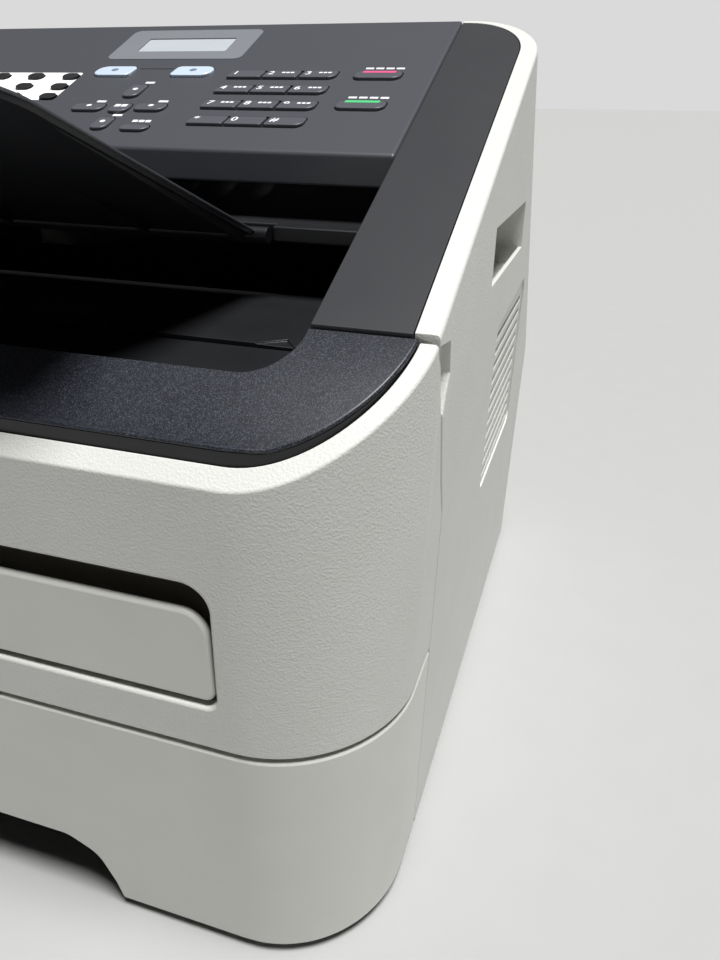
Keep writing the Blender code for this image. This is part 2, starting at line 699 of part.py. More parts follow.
def make_engine():
    set_origin(rod("document_feed_roller", 8.0, (-40, 40), (28, 277), RUBBER), (0, 28, 277))
    set_origin(rod("pickup_roller", 10.0, (-20, 20), (-88, 80), RUBBER), (0, -88, 80))
    set_origin(rod("exit_roller", 6.0, (-110, 110), (62, 212), RUBBER, 16), (0, 62, 212))
    set_origin(rod("drum", 12.0, (-120, 120), (22, 118), DRUM_BLUE), (0, 22, 118))
    set_origin(rod("fuser_heat_roller", 12.0, (-115, 115), (112, 148), STEEL), (0, 112, 148))
    set_origin(rod("fuser_pressure_roller", 12.0, (-115, 115), (112, 123.4), RUBBER), (0, 112, 123.4))
    box("image_sensor", (-112, 112), (-15, 3), (224, 236), DARK)
    box("laser_unit", (-110, 110), (-50, 50), (138, 160), DARK)
    bevel(box("toner_cartridge", (-125, 125), (-98, 4), (103, 132), DARK), 4.0)
    box("main_board", (163, 164.6), (-50, 110), (105, 195), BOARD)
    box("power_supply", (-120, 20), (112, 168), (10, 60), STEEL)
    inlet = box("power_inlet", (INLET_CENTRE_X - 14, INLET_CENTRE_X + 14), (173, 180), INLET_Z, DARK)
    cut(inlet, box("inlet_recess", (INLET_CENTRE_X - 10, INLET_CENTRE_X + 10), (175, 190), (22, 34)))


def make_motor():
    motor = rod("main_motor", 24.0, (-179.4, -167.5), (30, 140), STEEL)
    return join(motor, rod("pinion", 5.5, (-169, -160.5), (30, 140), None, 12))


def make_drive_gear():
    """Spur gear beside the motor's pinion, with trapezoid teeth."""
    teeth = 20
    root, tip = 19.5, 22.0
    outline = []
    for tooth in range(teeth):
        for part, radius in ((0.0, root), (0.3, root), (0.45, tip), (0.8, tip)):
            angle = 2 * math.pi * (tooth + part) / teeth
            outline.append((56.6 + radius * math.cos(angle), 150.0 + radius * math.sin(angle)))
    gear = prism("drive_gear", outline, (-166.0, -160.5), "X", DARK)
    return set_origin(gear, (0, 56.6, 150.0))


# ---------------------------------------------------------------- build

clear_scene()
MACHINE = make_collection("fax_machine")
ROOT = bpy.data.objects.new("body_frame", None)
MACHINE.objects.link(ROOT)

WHITE = make_material("warm_white_plastic", (0.62, 0.61, 0.57), 0.55)
GREY = make_material("dark_grey_plastic", (0.065, 0.068, 0.075), 0.5)
BLACK = make_material("black_plastic", (0.015, 0.016, 0.02), 0.4)
DARK = make_material("inner_plastic", (0.03, 0.03, 0.033), 0.5)
STEEL = make_material("zinc_steel", (0.55, 0.56, 0.57), 0.4, 1.0)
RUBBER = make_material("roller_rubber", (0.03, 0.03, 0.03), 0.8)
DRUM_BLUE = make_material("drum_coating", (0.05, 0.2, 0.35), 0.2)
BOARD = make_material("circuit_board", (0.02, 0.12, 0.05), 0.5)
GLASS = make_material("lcd_glass", (0.35, 0.4, 0.42), 0.15)
BLUE = make_material("pale_blue_key", (0.45, 0.6, 0.75), 0.4)
RED = make_material("stop_key_plastic", (0.5, 0.08, 0.15), 0.4)
GREEN = make_material("start_key_plastic", (0.05, 0.4, 0.18), 0.4)

SHELL = cut(envelope("shell", 0.0), envelope("shell_inside", WALL))

make_front_cover()
make_front_insert()
make_slot_cover()
mirrored(make_side_cover(), "side_cover_left")
mirrored(make_arm_cover(), "arm_cover_left")
make_tray_front()
make_rear_housing()
make_rear_cover()
make_main_frame()
make_paper_tray()
make_lift_plate()
mirrored(make_paper_guide(), "paper_guide_left")
make_recess_floor()
make_document_chute()
make_output_flap()
make_keys()
make_one_touch_keys()
make_control_panel()
make_document_support()
mirrored(make_document_guide(), "document_guide_left")
make_engine()
make_motor()
make_drive_gear()
bpy.data.objects.remove(SHELL, do_unlink=True)
ROOT.location.y = BODY_SHIFT_Y * MM
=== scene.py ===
"""Looks of a compact laser fax machine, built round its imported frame.

Shapes are drawn in millimetres in the body's own frame: X to the right, Y to the
back and Z up, with the middle of the body at X 0, Y 0. Each finished mesh is then
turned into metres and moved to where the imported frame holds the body.
"""
import logging
import math
from dataclasses import dataclass, field
from enum import Enum
from typing import Callable, Iterable, Sequence

import bmesh
import bpy
from mathutils import Matrix, Vector


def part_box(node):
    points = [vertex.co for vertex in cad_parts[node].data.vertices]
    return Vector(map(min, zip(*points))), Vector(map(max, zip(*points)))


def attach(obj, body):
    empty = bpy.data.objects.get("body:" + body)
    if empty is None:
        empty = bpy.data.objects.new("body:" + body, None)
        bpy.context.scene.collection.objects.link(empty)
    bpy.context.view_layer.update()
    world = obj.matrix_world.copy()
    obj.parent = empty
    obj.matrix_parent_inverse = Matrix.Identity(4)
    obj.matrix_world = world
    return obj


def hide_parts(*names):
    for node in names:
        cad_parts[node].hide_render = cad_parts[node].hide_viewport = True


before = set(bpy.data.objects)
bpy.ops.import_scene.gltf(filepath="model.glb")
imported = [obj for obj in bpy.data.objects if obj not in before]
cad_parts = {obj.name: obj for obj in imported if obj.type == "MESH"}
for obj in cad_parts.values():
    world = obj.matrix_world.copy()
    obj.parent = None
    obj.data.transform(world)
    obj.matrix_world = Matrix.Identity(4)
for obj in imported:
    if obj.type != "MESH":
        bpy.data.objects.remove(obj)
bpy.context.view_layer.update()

LOG = logging.getLogger("fax_machine")
MM = 0.001
WELD_GAP = 0.01
FLAT_ANGLE = math.radians(0.3)
SHARP_ANGLE = math.radians(32.0)
# Width of the faint uneven patches that every moulded surface shows.
MOTTLE_MM = 25.0
Point = tuple[float, float]
EdgeTest = Callable[[Vector, Vector], bool]


# ---------------------------------------------------------------- mesh tools

def link(name: str, mesh: bpy.types.Mesh) -> bpy.types.Object:
    """Put a mesh into the scene as an object.

    Args:
        name: Name of the new object.
        mesh: Mesh that it shows.

    Returns:
        The new object.
    """
    thing = bpy.data.objects.new(name, mesh)
    bpy.context.scene.collection.objects.link(thing)
    return thing


def from_bmesh(name: str, solid: bmesh.types.BMesh) -> bpy.types.Object:
    """Turn a bmesh into an object with its faces pointing outwards.

    Args:
        name: Name of the new object.
        solid: Closed bmesh, which is freed.

    Returns:
        The new object.
    """
    bmesh.ops.recalc_face_normals(solid, faces=solid.faces)
    if solid.calc_volume(signed=True) < 0.0:
        bmesh.ops.reverse_faces(solid, faces=solid.faces)
    mesh = bpy.data.meshes.new(name)
    solid.to_mesh(mesh)
    solid.free()
    return link(name, mesh)


def arc(centre: Point, radius: float, start: float, end: float, steps: int) -> list[Point]:
    """Points along an arc.

    Args:
        centre: Centre of the arc.
        radius: Its radius.
        start: First angle in degrees.
        end: Last angle in degrees.
        steps: Number of chords.

    Returns:
        The points, one more than the chords.
    """
    turns = [math.radians(start + (end - start) * step / steps) for step in range(steps + 1)]
    return [(centre[0] + radius * math.cos(a), centre[1] + radius * math.sin(a)) for a in turns]


def rounded(corners: Sequence[Point], radii: Sequence[float], steps: int = 8) -> list[Point]:
    """Round the corners of a convex, anticlockwise outline.

    Args:
        corners: Corners of the outline.
        radii: Radius at each corner.
        steps: Chords in each rounding.

    Returns:
        The rounded outline.
    """
    outline: list[Point] = []
    for index, corner in enumerate(corners):
        here = Vector(corner)
        before = (Vector(corners[index - 1]) - here).normalized()
        after = (Vector(corners[(index + 1) % len(corners)]) - here).normalized()
        if radii[index] <= 0.0:
            outline.append(corner)
            continue
        half = before.angle(after) / 2
        centre = here + (before + after).normalized() * (radii[index] / math.sin(half))
        start = here + before * (radii[index] / math.tan(half)) - centre
        end = here + after * (radii[index] / math.tan(half)) - centre
        turn = start.angle_signed(end)
        for step in range(steps + 1):
            swing = Matrix.Rotation(-turn * step / steps, 2)
            spot = centre + swing @ start
            outline.append((spot.x, spot.y))
    return outline


def rectangle(x: Point, y: Point) -> list[Point]:
    """Anticlockwise corners of a rectangle between the limits x and y."""
    return [(x[0], y[0]), (x[1], y[0]), (x[1], y[1]), (x[0], y[1])]


def rounded_box(x: Point, y: Point, radii: Sequence[float] | float, steps: int = 8) -> list[Point]:
    """Rectangle between the limits x and y with rounded corners.

    Args:
        x: Lowest and highest place across.
        y: Lowest and highest place up.
        radii: Radius at each corner from the lower left, anticlockwise, or one for all.
        steps: Chords in each rounding.

    Returns:
        The rounded outline.
    """
    return rounded(rectangle(x, y), (radii,) * 4 if isinstance(radii, float) else radii, steps)


class Across(Enum):
    """Axis that an outline is thickened along, with its frame."""

    X = Matrix(((0, 0, 1, 0), (1, 0, 0, 0), (0, 1, 0, 0), (0, 0, 0, 1)))
    Y = Matrix(((1, 0, 0, 0), (0, 0, 1, 0), (0, 1, 0, 0), (0, 0, 0, 1)))
    Z = Matrix.Identity(4)


def prism(name: str, outline: Sequence[Point], span: Point, across: Across = Across.X) -> bpy.types.Object:
    """Thicken a flat outline along one axis.

    Args:
        name: Name of the new object.
        outline: (Y, Z) points across X, (X, Z) across Y or (X, Y) across Z.
        span: Lowest and highest place along the axis.
        across: The axis.

    Returns:
        The closed solid.
    """
    solid = bmesh.new()
    face = solid.faces.new([solid.verts.new((u, v, span[0])) for u, v in outline])
    grown = bmesh.ops.extrude_face_region(solid, geom=[face])
    moved = [item for item in grown["geom"] if isinstance(item, bmesh.types.BMVert)]
    bmesh.ops.translate(solid, verts=moved, vec=(0.0, 0.0, span[1] - span[0]))
    solid.transform(across.value)
    return from_bmesh(name, solid)


def loft(name: str, rings: Sequence[Sequence[Vector]]) -> bpy.types.Object:
    """Join outlines with the same number of points into a solid.

    Args:
        name: Name of the new object.
        rings: The outlines, in order.

    Returns:
        The closed solid.
    """
    solid = bmesh.new()
    made = [[solid.verts.new(spot) for spot in ring] for ring in rings]
    for first, second in zip(made, made[1:]):
        for index in range(len(first)):
            solid.faces.new((first[index - 1], first[index], second[index], second[index - 1]))
    solid.faces.new(made[0])
    solid.faces.new(made[-1])
    return from_bmesh(name, solid)


def block(name: str, x: Point, y: Point, z: Point) -> bpy.types.Object:
    """Box between the limits x, y and z."""
    return prism(name, rectangle(x, y), z, Across.Z)


def rod(name: str, radius: float, x: Point, centre: Point, sides: int = 48) -> bpy.types.Object:
    """Cylinder along X between the limits x, with its axis through centre (Y, Z)."""
    return prism(name, arc(centre, radius, 0.0, 360.0 * (sides - 1) / sides, sides - 1), x)


def bake(thing: bpy.types.Object) -> bpy.types.Object:
    """Replace the object's mesh with what its modifiers make of it.

    Args:
        thing: Object whose modifiers are used up.

    Returns:
        The same object.
    """
    bpy.context.view_layer.update()
    graph = bpy.context.evaluated_depsgraph_get()
    mesh = bpy.data.meshes.new_from_object(thing.evaluated_get(graph))
    thing.modifiers.clear()
    thing.data = mesh
    return thing


def combine(thing: bpy.types.Object, other: bpy.types.Object, operation: str) -> bpy.types.Object:
    """Combine two solids.

    Args:
        thing: Solid that keeps the result.
        other: Solid that is used up.
        operation: DIFFERENCE, UNION or INTERSECT.

    Returns:
        The first object.
    """
    modifier = thing.modifiers.new(operation.lower(), "BOOLEAN")
    modifier.operation = operation
    modifier.solver = "EXACT"
    modifier.object = other
    bake(thing)
    bpy.data.objects.remove(other, do_unlink=True)
    return thing


def cut(thing: bpy.types.Object, *others: bpy.types.Object) -> bpy.types.Object:
    """Take the other solids out of the first."""
    for other in others:
        combine(thing, other, "DIFFERENCE")
    return thing


def join(thing: bpy.types.Object, *others: bpy.types.Object) -> bpy.types.Object:
    """Grow the other solids onto the first."""
    for other in others:
        combine(thing, other, "UNION")
    return thing


def keep_inside(thing: bpy.types.Object, other: bpy.types.Object) -> bpy.types.Object:
    """Keep only what lies inside the other solid."""
    return combine(thing, other, "INTERSECT")


def soften(thing: bpy.types.Object, width: float, segments: int = 3, angle: float = 38.0) -> bpy.types.Object:
    """Round every sharp edge, as far as the shortest edge allows.

    Args:
        thing: Solid in millimetres.
        width: Width of the rounding.
        segments: Facets across it.
        angle: Edges sharper than this many degrees are rounded.

    Returns:
        The same object.
    """
    tidy(thing)
    modifier = thing.modifiers.new("edge", "BEVEL")
    modifier.width = width
    modifier.segments = segments
    modifier.limit_method = "ANGLE"
    modifier.angle_limit = math.radians(angle)
    return bake(thing)


def round_edges(thing: bpy.types.Object, width: float, chosen: EdgeTest, segments: int = 12,
                angle: float = 0.0) -> bpy.types.Object:
    """Round only the edges that a test picks, at their full radius.

    Args:
        thing: Solid in millimetres.
        width: Radius of the rounding.
        chosen: Test of an edge's two ends.
        segments: Facets across it.
        angle: Edges flatter than this many degrees are left.

    Returns:
        The same object.
    """
    tidy(thing)
    solid = bmesh.new()
    solid.from_mesh(thing.data)
    solid.edges.ensure_lookup_table()
    weights = thing.data.attributes.new("bevel_weight_edge", "FLOAT", "EDGE")
    for edge in solid.edges:
        sharp = edge.calc_face_angle(0.0) >= math.radians(angle)
        picked = sharp and chosen(edge.verts[0].co, edge.verts[1].co)
        weights.data[edge.index].value = 1.0 if picked else 0.0
    solid.free()
    modifier = thing.modifiers.new("round", "BEVEL")
    modifier.width = width
    modifier.segments = segments
    modifier.limit_method = "WEIGHT"
    modifier.use_clamp_overlap = False
    bake(thing)
    left = thing.data.attributes.get("bevel_weight_edge")
    if left is not None:
        thing.data.attributes.remove(left)
    return thing


def tidy(thing: bpy.types.Object) -> bpy.types.Object:
    """Join points that coincide and faces that lie in one plane.

    Args:
        thing: Solid in millimetres.

    Returns:
        The same object.
    """
    solid = bmesh.new()
    solid.from_mesh(thing.data)
    bmesh.ops.remove_doubles(solid, verts=solid.verts, dist=WELD_GAP)
    bmesh.ops.dissolve_limit(solid, angle_limit=FLAT_ANGLE, verts=solid.verts, edges=solid.edges)
    solid.to_mesh(thing.data)
    solid.free()
    return thing


def copy_of(thing: bpy.types.Object, name: str) -> bpy.types.Object:
    """Separate copy of an object and its mesh."""
    return link(name, thing.data.copy())


def mirror(thing: bpy.types.Object, name: str) -> bpy.types.Object:
    """Copy of an object on the other side of the middle plane.

    Args:
        thing: Object to copy.
        name: Name of the copy.

    Returns:
        The mirrored copy.
    """
    twin = copy_of(thing, name)
    twin.data.transform(Matrix.Scale(-1.0, 4, (1, 0, 0)))
    twin.data.flip_normals()
    return twin


# ---------------------------------------------------------------- finishes

def linear(hex_colour: str) -> tuple[float, float, float, float]:
    """Turn an sRGB hex colour into the linear values that a shader takes.

    Args:
        hex_colour: Six hex digits, such as "E8E7E1".

    Returns:
        Linear red, green and blue, and an alpha of 1.
    """
    parts = [int(hex_colour[index:index + 2], 16) / 255 for index in (0, 2, 4)]
    curve = [p / 12.92 if p <= 0.04045 else ((p + 0.055) / 1.055) ** 2.4 for p in parts]
    return curve[0], curve[1], curve[2], 1.0


class Surface(Enum):
    """How a surface was made."""

    GRAINED = "leather grain, spark-eroded into the mould"
    SPECKLED = "fine texture over a pigment with metal flakes"
    SATIN = "fine moulded texture"
    SMOOTH = "polished mould"
    BRUSHED = "rolled or ground along one axis"


@dataclass(frozen=True)
class Finish:
    """One material of the machine, from the real one's values."""

    name: str
    colour: str
    surface: Surface = Surface.SATIN
    shade: str = ""
    roughness: float = 0.5
    spread: float = 0.06
    metallic: float = 0.0
    ior: float = 1.5
    grain_mm: float = 0.8
    relief_mm: float = 0.02
    fleck: str = ""
    fleck_mm: float = 0.45
    fleck_share: float = 0.3
    coat: float = 0.0

    def material(self) -> bpy.types.Material:
        """The Blender material, made once."""
        ready = bpy.data.materials.get(self.name)
        return ready if ready is not None else self.build()

    def build(self) -> bpy.types.Material:
        """Make the material's nodes.

        Returns:
            A node material with colour variation, uneven gloss and relief.
        """
        material = bpy.data.materials.new(self.name)
        material.use_nodes = True
        tree = material.node_tree
        shader = tree.nodes["Principled BSDF"]
        shader.inputs["Metallic"].default_value = self.metallic
        if not self.metallic:
            shader.inputs["IOR"].default_value = self.ior
        shader.inputs["Coat Weight"].default_value = self.coat
        place = tree.nodes.new("ShaderNodeTexCoord").outputs["Object"]
        if self.surface is Surface.BRUSHED:
            stretch = add_node(tree, "ShaderNodeMapping", {"Scale": (0.03, 1.0, 1.0)}, {"Vector": place})
            place = stretch.outputs["Vector"]
        mottle = add_node(tree, "ShaderNodeTexNoise", {"Scale": 1 / (MOTTLE_MM * MM), "Detail": 4.0},
                          {"Vector": place})
        base = add_node(tree, "ShaderNodeMix", {"A": linear(self.colour), "B": linear(self.shade or self.colour)},
                        {"Factor": mottle.outputs["Fac"]}, data_type="RGBA")
        colour = base.outputs["Result"]
        grain = self.grain(tree, place)
        if self.fleck:
            colour = self.flecked(tree, place, colour)
        tree.links.new(colour, shader.inputs["Base Color"])
        gloss = add_node(tree, "ShaderNodeMapRange",
                         {"To Min": self.roughness - self.spread, "To Max": self.roughness + self.spread},
                         {"Value": mottle.outputs["Fac"]})
        tree.links.new(gloss.outputs["Result"], shader.inputs["Roughness"])
        bump = add_node(tree, "ShaderNodeBump", {"Strength": 1.0, "Distance": self.relief_mm * MM},
                        {"Height": grain})
        tree.links.new(bump.outputs["Normal"], shader.inputs["Normal"])
        return material

    def grain(self, tree: bpy.types.NodeTree, place: bpy.types.NodeSocket) -> bpy.types.NodeSocket:
        """Height pattern of the surface at its real grain size.

        Args:
            tree: Node tree of the material.
            place: Coordinates in metres.

        Returns:
            Socket with the height from 0 to 1.
        """
        scale = 1 / (self.grain_mm * MM)
        noise = add_node(tree, "ShaderNodeTexNoise", {"Scale": scale, "Detail": 2.0, "Roughness": 0.6},
                         {"Vector": place})
        if self.surface is not Surface.GRAINED:
            return noise.outputs["Fac"]
        cells = add_node(tree, "ShaderNodeTexVoronoi", {"Scale": scale * 0.75}, {"Vector": place},
                         feature="SMOOTH_F1")
        both = add_node(tree, "ShaderNodeMath", {}, {0: noise.outputs["Fac"], 1: cells.outputs["Distance"]},
                        operation="MULTIPLY")
        return both.outputs["Value"]

    def flecked(self, tree: bpy.types.NodeTree, place: bpy.types.NodeSocket,
                colour: bpy.types.NodeSocket) -> bpy.types.NodeSocket:
        """Mix bright flecks into the colour: the metal flakes, with their glints painted in, the same under any light.

        Args:
            tree: Node tree of the material.
            place: Coordinates in metres.
            colour: Colour without flecks.

        Returns:
            Socket with the flecked colour.
        """
        cells = add_node(tree, "ShaderNodeTexVoronoi", {"Scale": 1 / (self.fleck_mm * MM)}, {"Vector": place})
        pick = add_node(tree, "ShaderNodeSeparateColor", {}, {"Color": cells.outputs["Color"]})
        share = 1.0 - self.fleck_share
        chosen = add_node(tree, "ShaderNodeMapRange", {"From Min": share, "From Max": 1.0},
                          {"Value": pick.outputs["Red"]})
        mixed = add_node(tree, "ShaderNodeMix", {"B": linear(self.fleck)},
                         {"Factor": chosen.outputs["Result"], "A": colour}, data_type="RGBA")
        return mixed.outputs["Result"]


def add_node(tree: bpy.types.NodeTree, kind: str, values: dict, links: dict, **settings: str) -> bpy.types.Node:
    """Add a node with its settings and links.

    Args:
        tree: Tree that takes the node.
        kind: Node type.
        values: Input name to value.
        links: Input name or number to the socket that feeds it.
        **settings: Attributes of the node.

    Returns:
        The node.
    """
    node = tree.nodes.new(kind)
    for key, value in settings.items():
        setattr(node, key, value)
    usable = {}
    for number, socket in enumerate(node.inputs):
        usable[number] = socket
        if socket.enabled:
            usable.setdefault(socket.name, socket)
    for key, value in values.items():
        usable[key].default_value = value
    for key, source in links.items():
        tree.links.new(source, usable[key])
    return node


# Warm white ABS with a leather grain: dull, with soft broken highlights. The grain is drawn about
# twice as deep as a real one, so that it shows.
WHITE_GRAINED = Finish("abs_warm_white_grained", "D4D4D0", Surface.GRAINED, "CECEC9", 0.55, 0.05,
                       grain_mm=0.55, relief_mm=0.2)
# The same ABS from a finer part of the mould: plain and a little shinier.
WHITE_FINE = Finish("abs_warm_white_fine", "D6D6D1", Surface.SATIN, "CFCFC9", 0.45, 0.05,
                    grain_mm=0.7, relief_mm=0.02)
# Dark grey ABS with a fine satin texture and a little dust.
GREY_SATIN = Finish("abs_dark_grey_satin", "494B50", Surface.SATIN, "43454A", 0.42, 0.05,
                    grain_mm=0.5, relief_mm=0.03)
# The arms' tops, from a darker batch of the same ABS.
ARM_GREY = Finish("abs_arm_grey_satin", "27282C", Surface.SATIN, "242529", 0.52, 0.05,
                  grain_mm=0.5, relief_mm=0.03)
# Blue-black ABS with metal flakes. The flakes are drawn as fixed pale flecks in the colour, which paint in their
# sparkle in grazing light.
BLACK_SPECKLED = Finish("abs_blue_black_flake", "14161C", Surface.SPECKLED, "191B22", 0.42, 0.05,
                        grain_mm=0.3, relief_mm=0.03, fleck="4C505C", fleck_mm=0.2, fleck_share=0.35)
# Black ABS, plain satin: the paper path; on the flap's underside its black is painted shade.
BLACK_SATIN = Finish("abs_black_satin", "121316", Surface.SATIN, "17181B", 0.45, 0.06,
                     grain_mm=0.5, relief_mm=0.012)
# Key caps, moulded in the panel's own grey.
KEY_GREY = Finish("abs_key_grey", "58595F", Surface.SATIN, "525359", 0.38, 0.05, grain_mm=0.4, relief_mm=0.008)
# Black silicone rubber of the one-touch keys, which takes almost no gloss.
KEY_BLACK = Finish("rubber_key_black", "0E0F12", Surface.SATIN, "141518", 0.55, 0.05, grain_mm=0.4, relief_mm=0.01)
# Pale blue polycarbonate, lit through by the lamp below it; that glow is painted into its pale colour, as the key
# gives off no light.
KEY_BLUE = Finish("polycarbonate_pale_blue", "D6E4F4", Surface.SMOOTH, "CCDDF0", 0.25, 0.04,
                  ior=1.58, grain_mm=3.0, relief_mm=0.01, coat=0.4)
# Pad-printed inks, thin and matt, which only add colour.
BAR_ROSE = Finish("pad_print_rose", "DE5F8E", Surface.SMOOTH, "D5557F", 0.4, 0.04, grain_mm=1.0, relief_mm=0.004)
BAR_GREEN = Finish("pad_print_green", "58CB83", Surface.SMOOTH, "4FC079", 0.4, 0.04, grain_mm=1.0, relief_mm=0.004)
PRINT_WHITE = Finish("pad_print_white", "F2F3F5", Surface.SMOOTH, "EBECEE", 0.5, 0.04, grain_mm=1.0, relief_mm=0.004)
PRINT_BLUE = Finish("pad_print_slate", "6F8095", Surface.SMOOTH, "66768A", 0.5, 0.04, grain_mm=1.0, relief_mm=0.004)
# Coated card under the one-touch keys: a flat, slightly uneven white.
CARD_WHITE = Finish("coated_card_white", "F4F5F4", Surface.SATIN, "ECEDEB", 0.6, 0.05, grain_mm=0.3, relief_mm=0.006)
# Grey acrylic window frame, smooth and a little glossy.
LCD_SURROUND = Finish("acrylic_mid_grey", "85888D", Surface.SMOOTH, "7E8186", 0.3, 0.04,
                      ior=1.49, grain_mm=4.0, relief_mm=0.006, coat=0.3)
# Pale liquid crystal under a clear sheet, with a mirror gloss.
LCD_GLASS = Finish("lcd_pale_grey", "C9CED3", Surface.SMOOTH, "BEC4C9", 0.18, 0.04,
                   ior=1.52, grain_mm=4.0, relief_mm=0.004, coat=0.5)
# Glass-filled black nylon of the engine parts, faintly streaked and dull; behind the tray's hand recess it is painted
# shade.
INNER_BLACK = Finish("nylon_glass_filled_black", "26272A", Surface.SATIN, "2E2F32", 0.55, 0.08,
                     grain_mm=0.6, relief_mm=0.03)
# Undyed grey plastic of the parts that only show through a gap.
INNER_GREY = Finish("abs_inner_grey", "8A867E", Surface.SATIN, "827E77", 0.6, 0.05, grain_mm=0.6, relief_mm=0.02)
# Zinc-plated steel sheet and shafts, with rolling marks along one axis.
ZINC_STEEL = Finish("zinc_plated_steel", "B9BBBE", Surface.BRUSHED, "A9ACB0", 0.36, 0.08, 1.0,
                    grain_mm=0.4, relief_mm=0.01)
# Ground EPDM rubber: matt, and dark grey rather than black.
ROLLER_RUBBER = Finish("epdm_roller_rubber", "2B2B2C", Surface.SATIN, "343435", 0.8, 0.06,
                       grain_mm=0.4, relief_mm=0.03)
# Photoconductor coating of the drum: blue-green with a mirror gloss.
DRUM_COAT = Finish("organic_photoconductor", "2E8C93", Surface.SMOOTH, "2A7F8C", 0.12, 0.03,
                   grain_mm=6.0, relief_mm=0.002, coat=0.6)
# Solder mask over copper tracks, a glossy uneven green.
BOARD_GREEN = Finish("solder_mask_green", "1F6A3C", Surface.SMOOTH, "1A5C34", 0.35, 0.06,
                     grain_mm=1.5, relief_mm=0.02)
# Dull pale paint of the studio floor.
FLOOR_PAINT = Finish("matt_floor_paint", "A8A8A7", Surface.SATIN, "A5A5A4", 0.9, 0.03, grain_mm=6.0, relief_mm=0.004)


# ---------------------------------------------------------------- the body's form

@dataclass
class BodyForm:
    """Side view and plan of the whole body, in millimetres."""

    half_width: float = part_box("side_cover_right")[1].x / MM
    rear_y: float = (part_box("rear_housing")[1].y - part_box("front_cover")[0].y) / MM / 2
    bottom_z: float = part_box("side_cover_right")[0].z / MM
    wall: float = 4.0
    rim: float = 5.3
    arm_front: Point = (-136.2, 218.0)
    peak: Point = (58.7, 306.0)
    knee_z: float = 145.0
    nose_z: float = 187.0
    front_radius: float = 46.0
    rear_radius: float = 34.0
    arm_inner_x: float = 147.2
    draft_top_z: float = 200.0
    draft: float = 0.020
    seam: tuple[Point, ...] = ((-136.2, 330.0), (-136.2, 215.0), (-133.0, 210.0), (-126.0, 191.0),
                               (-118.0, 167.0), (-111.0, 152.0), (-111.0, 2.0))
    shells: dict[str, bpy.types.Object] = field(default_factory=dict)

    @property
    def front_y(self) -> float:
        """Front face of the body."""
        return -self.rear_y

    @property
    def shift_y(self) -> float:
        """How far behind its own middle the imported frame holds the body."""
        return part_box("rear_housing")[1].y / MM - self.rear_y

    @property
    def slope(self) -> float:
        """Angle of the arms and the panel, in radians."""
        rise = self.peak[1] - self.arm_front[1]
        return math.atan2(rise, self.peak[0] - self.arm_front[0])

    @property
    def rim_outer_x(self) -> float:
        """Outer side of the dark arm strips."""
        return self.half_width - 7.2

    def slope_z(self, y: float) -> float:
        """Height of the arm and panel surface at y."""
        return self.arm_front[1] + (y - self.arm_front[0]) * math.tan(self.slope)

    def top_z(self, y: float) -> float:
        """Height of the front top at y, an arc from the nose up to the arm.

        Args:
            y: Place along the body, held to the arc's ends.

        Returns:
            The height in millimetres.
        """
        chord = Vector((self.arm_front[0] - self.front_y, self.arm_front[1] - self.nose_z))
        turn = 2 * (math.atan2(chord.y, chord.x) - self.slope)
        radius = chord.length / (2 * math.sin(turn / 2))
        centre = (self.arm_front[0] + radius * math.sin(self.slope),
                  self.arm_front[1] - radius * math.cos(self.slope))
        reach = min(max(y, self.front_y), self.arm_front[0]) - centre[0]
        return centre[1] + math.sqrt(radius ** 2 - reach ** 2)

    def crown_z(self, y: float) -> float:
        """Height of the front top or, behind it, of the arm at y."""
        return self.top_z(y) if y < self.arm_front[0] else self.slope_z(y)

    def levels(self, *insets: float) -> list[float]:
        """Places along Y where the rounded front is sampled, shared by every outline that meets there.

        Args:
            insets: Distances inwards of those outlines.

        Returns:
            Rising places from the front face to the end of the corners.
        """
        kept = [self.front_y + inset for inset in insets] + [self.arm_front[0], self.front_y + self.front_radius]
        for inset in insets:
            radius = self.front_radius - inset
            for y, _ in arc((self.front_y + inset + radius, 0.0), radius, 180.0, 90.0, 26):
                room = 0.25 + 0.9 * (y - self.front_y) / self.front_radius
                if min(abs(y - other) for other in kept) > room:
                    kept.append(y)
        return sorted(kept)

    def top_arc(self) -> list[Point]:
        """Side view of the front top, from the nose up to the arm.

        Returns:
            (Y, Z) points.
        """
        shared = self.levels(0.0, self.rim)
        places = [y for y in shared if self.front_y + self.rim + 1.0 < y <= self.arm_front[0]]
        return [(y, self.top_z(y)) for y in (self.front_y, *places)]

    def profile(self, inset: float) -> list[Point]:
        """Side view of the body, moved inwards by inset and open below when inset.

        Args:
            inset: Distance inwards in millimetres.

        Returns:
            Anticlockwise (Y, Z) outline.
        """
        outline = [(self.front_y, self.bottom_z), (self.rear_y, self.bottom_z),
                   (self.rear_y, self.knee_z), self.peak, *self.top_arc()[::-1]]
        moved: list[Point] = []
        for index, corner in enumerate(outline):
            here = Vector(corner)
            first = (here - Vector(outline[index - 1])).normalized()
            second = (Vector(outline[(index + 1) % len(outline)]) - here).normalized()
            normal = Vector((-first.y - second.y, first.x + second.x))
            spot = here + normal / (normal.length_squared / 2) * inset
            moved.append((spot.x, spot.y))
        if inset:
            moved[0] = (moved[0][0], self.bottom_z - 10.0)
            moved[1] = (moved[1][0], self.bottom_z - 10.0)
        return moved

    def plan(self, inset: float, rear: float) -> list[Point]:
        """Plan of the body with its two front corners rounded.

        Args:
            inset: Distance inwards in millimetres.
            rear: Where the outline ends at the back.

        Returns:
            Anticlockwise (X, Y) outline.
        """
        half = self.half_width - inset
        radius = self.front_radius - inset
        middle = self.front_y + self.front_radius
        right = []
        for y in self.levels(0.0, self.rim) if inset in (0.0, self.rim) else self.levels(inset):
            if y >= self.front_y + inset:
                right.append((half - radius + math.sqrt(max(0.0, radius ** 2 - (middle - y) ** 2)), y))
        left = [(-x, y) for x, y in right[::-1]]
        return [(-half, rear), *left, *right, (half, rear)]

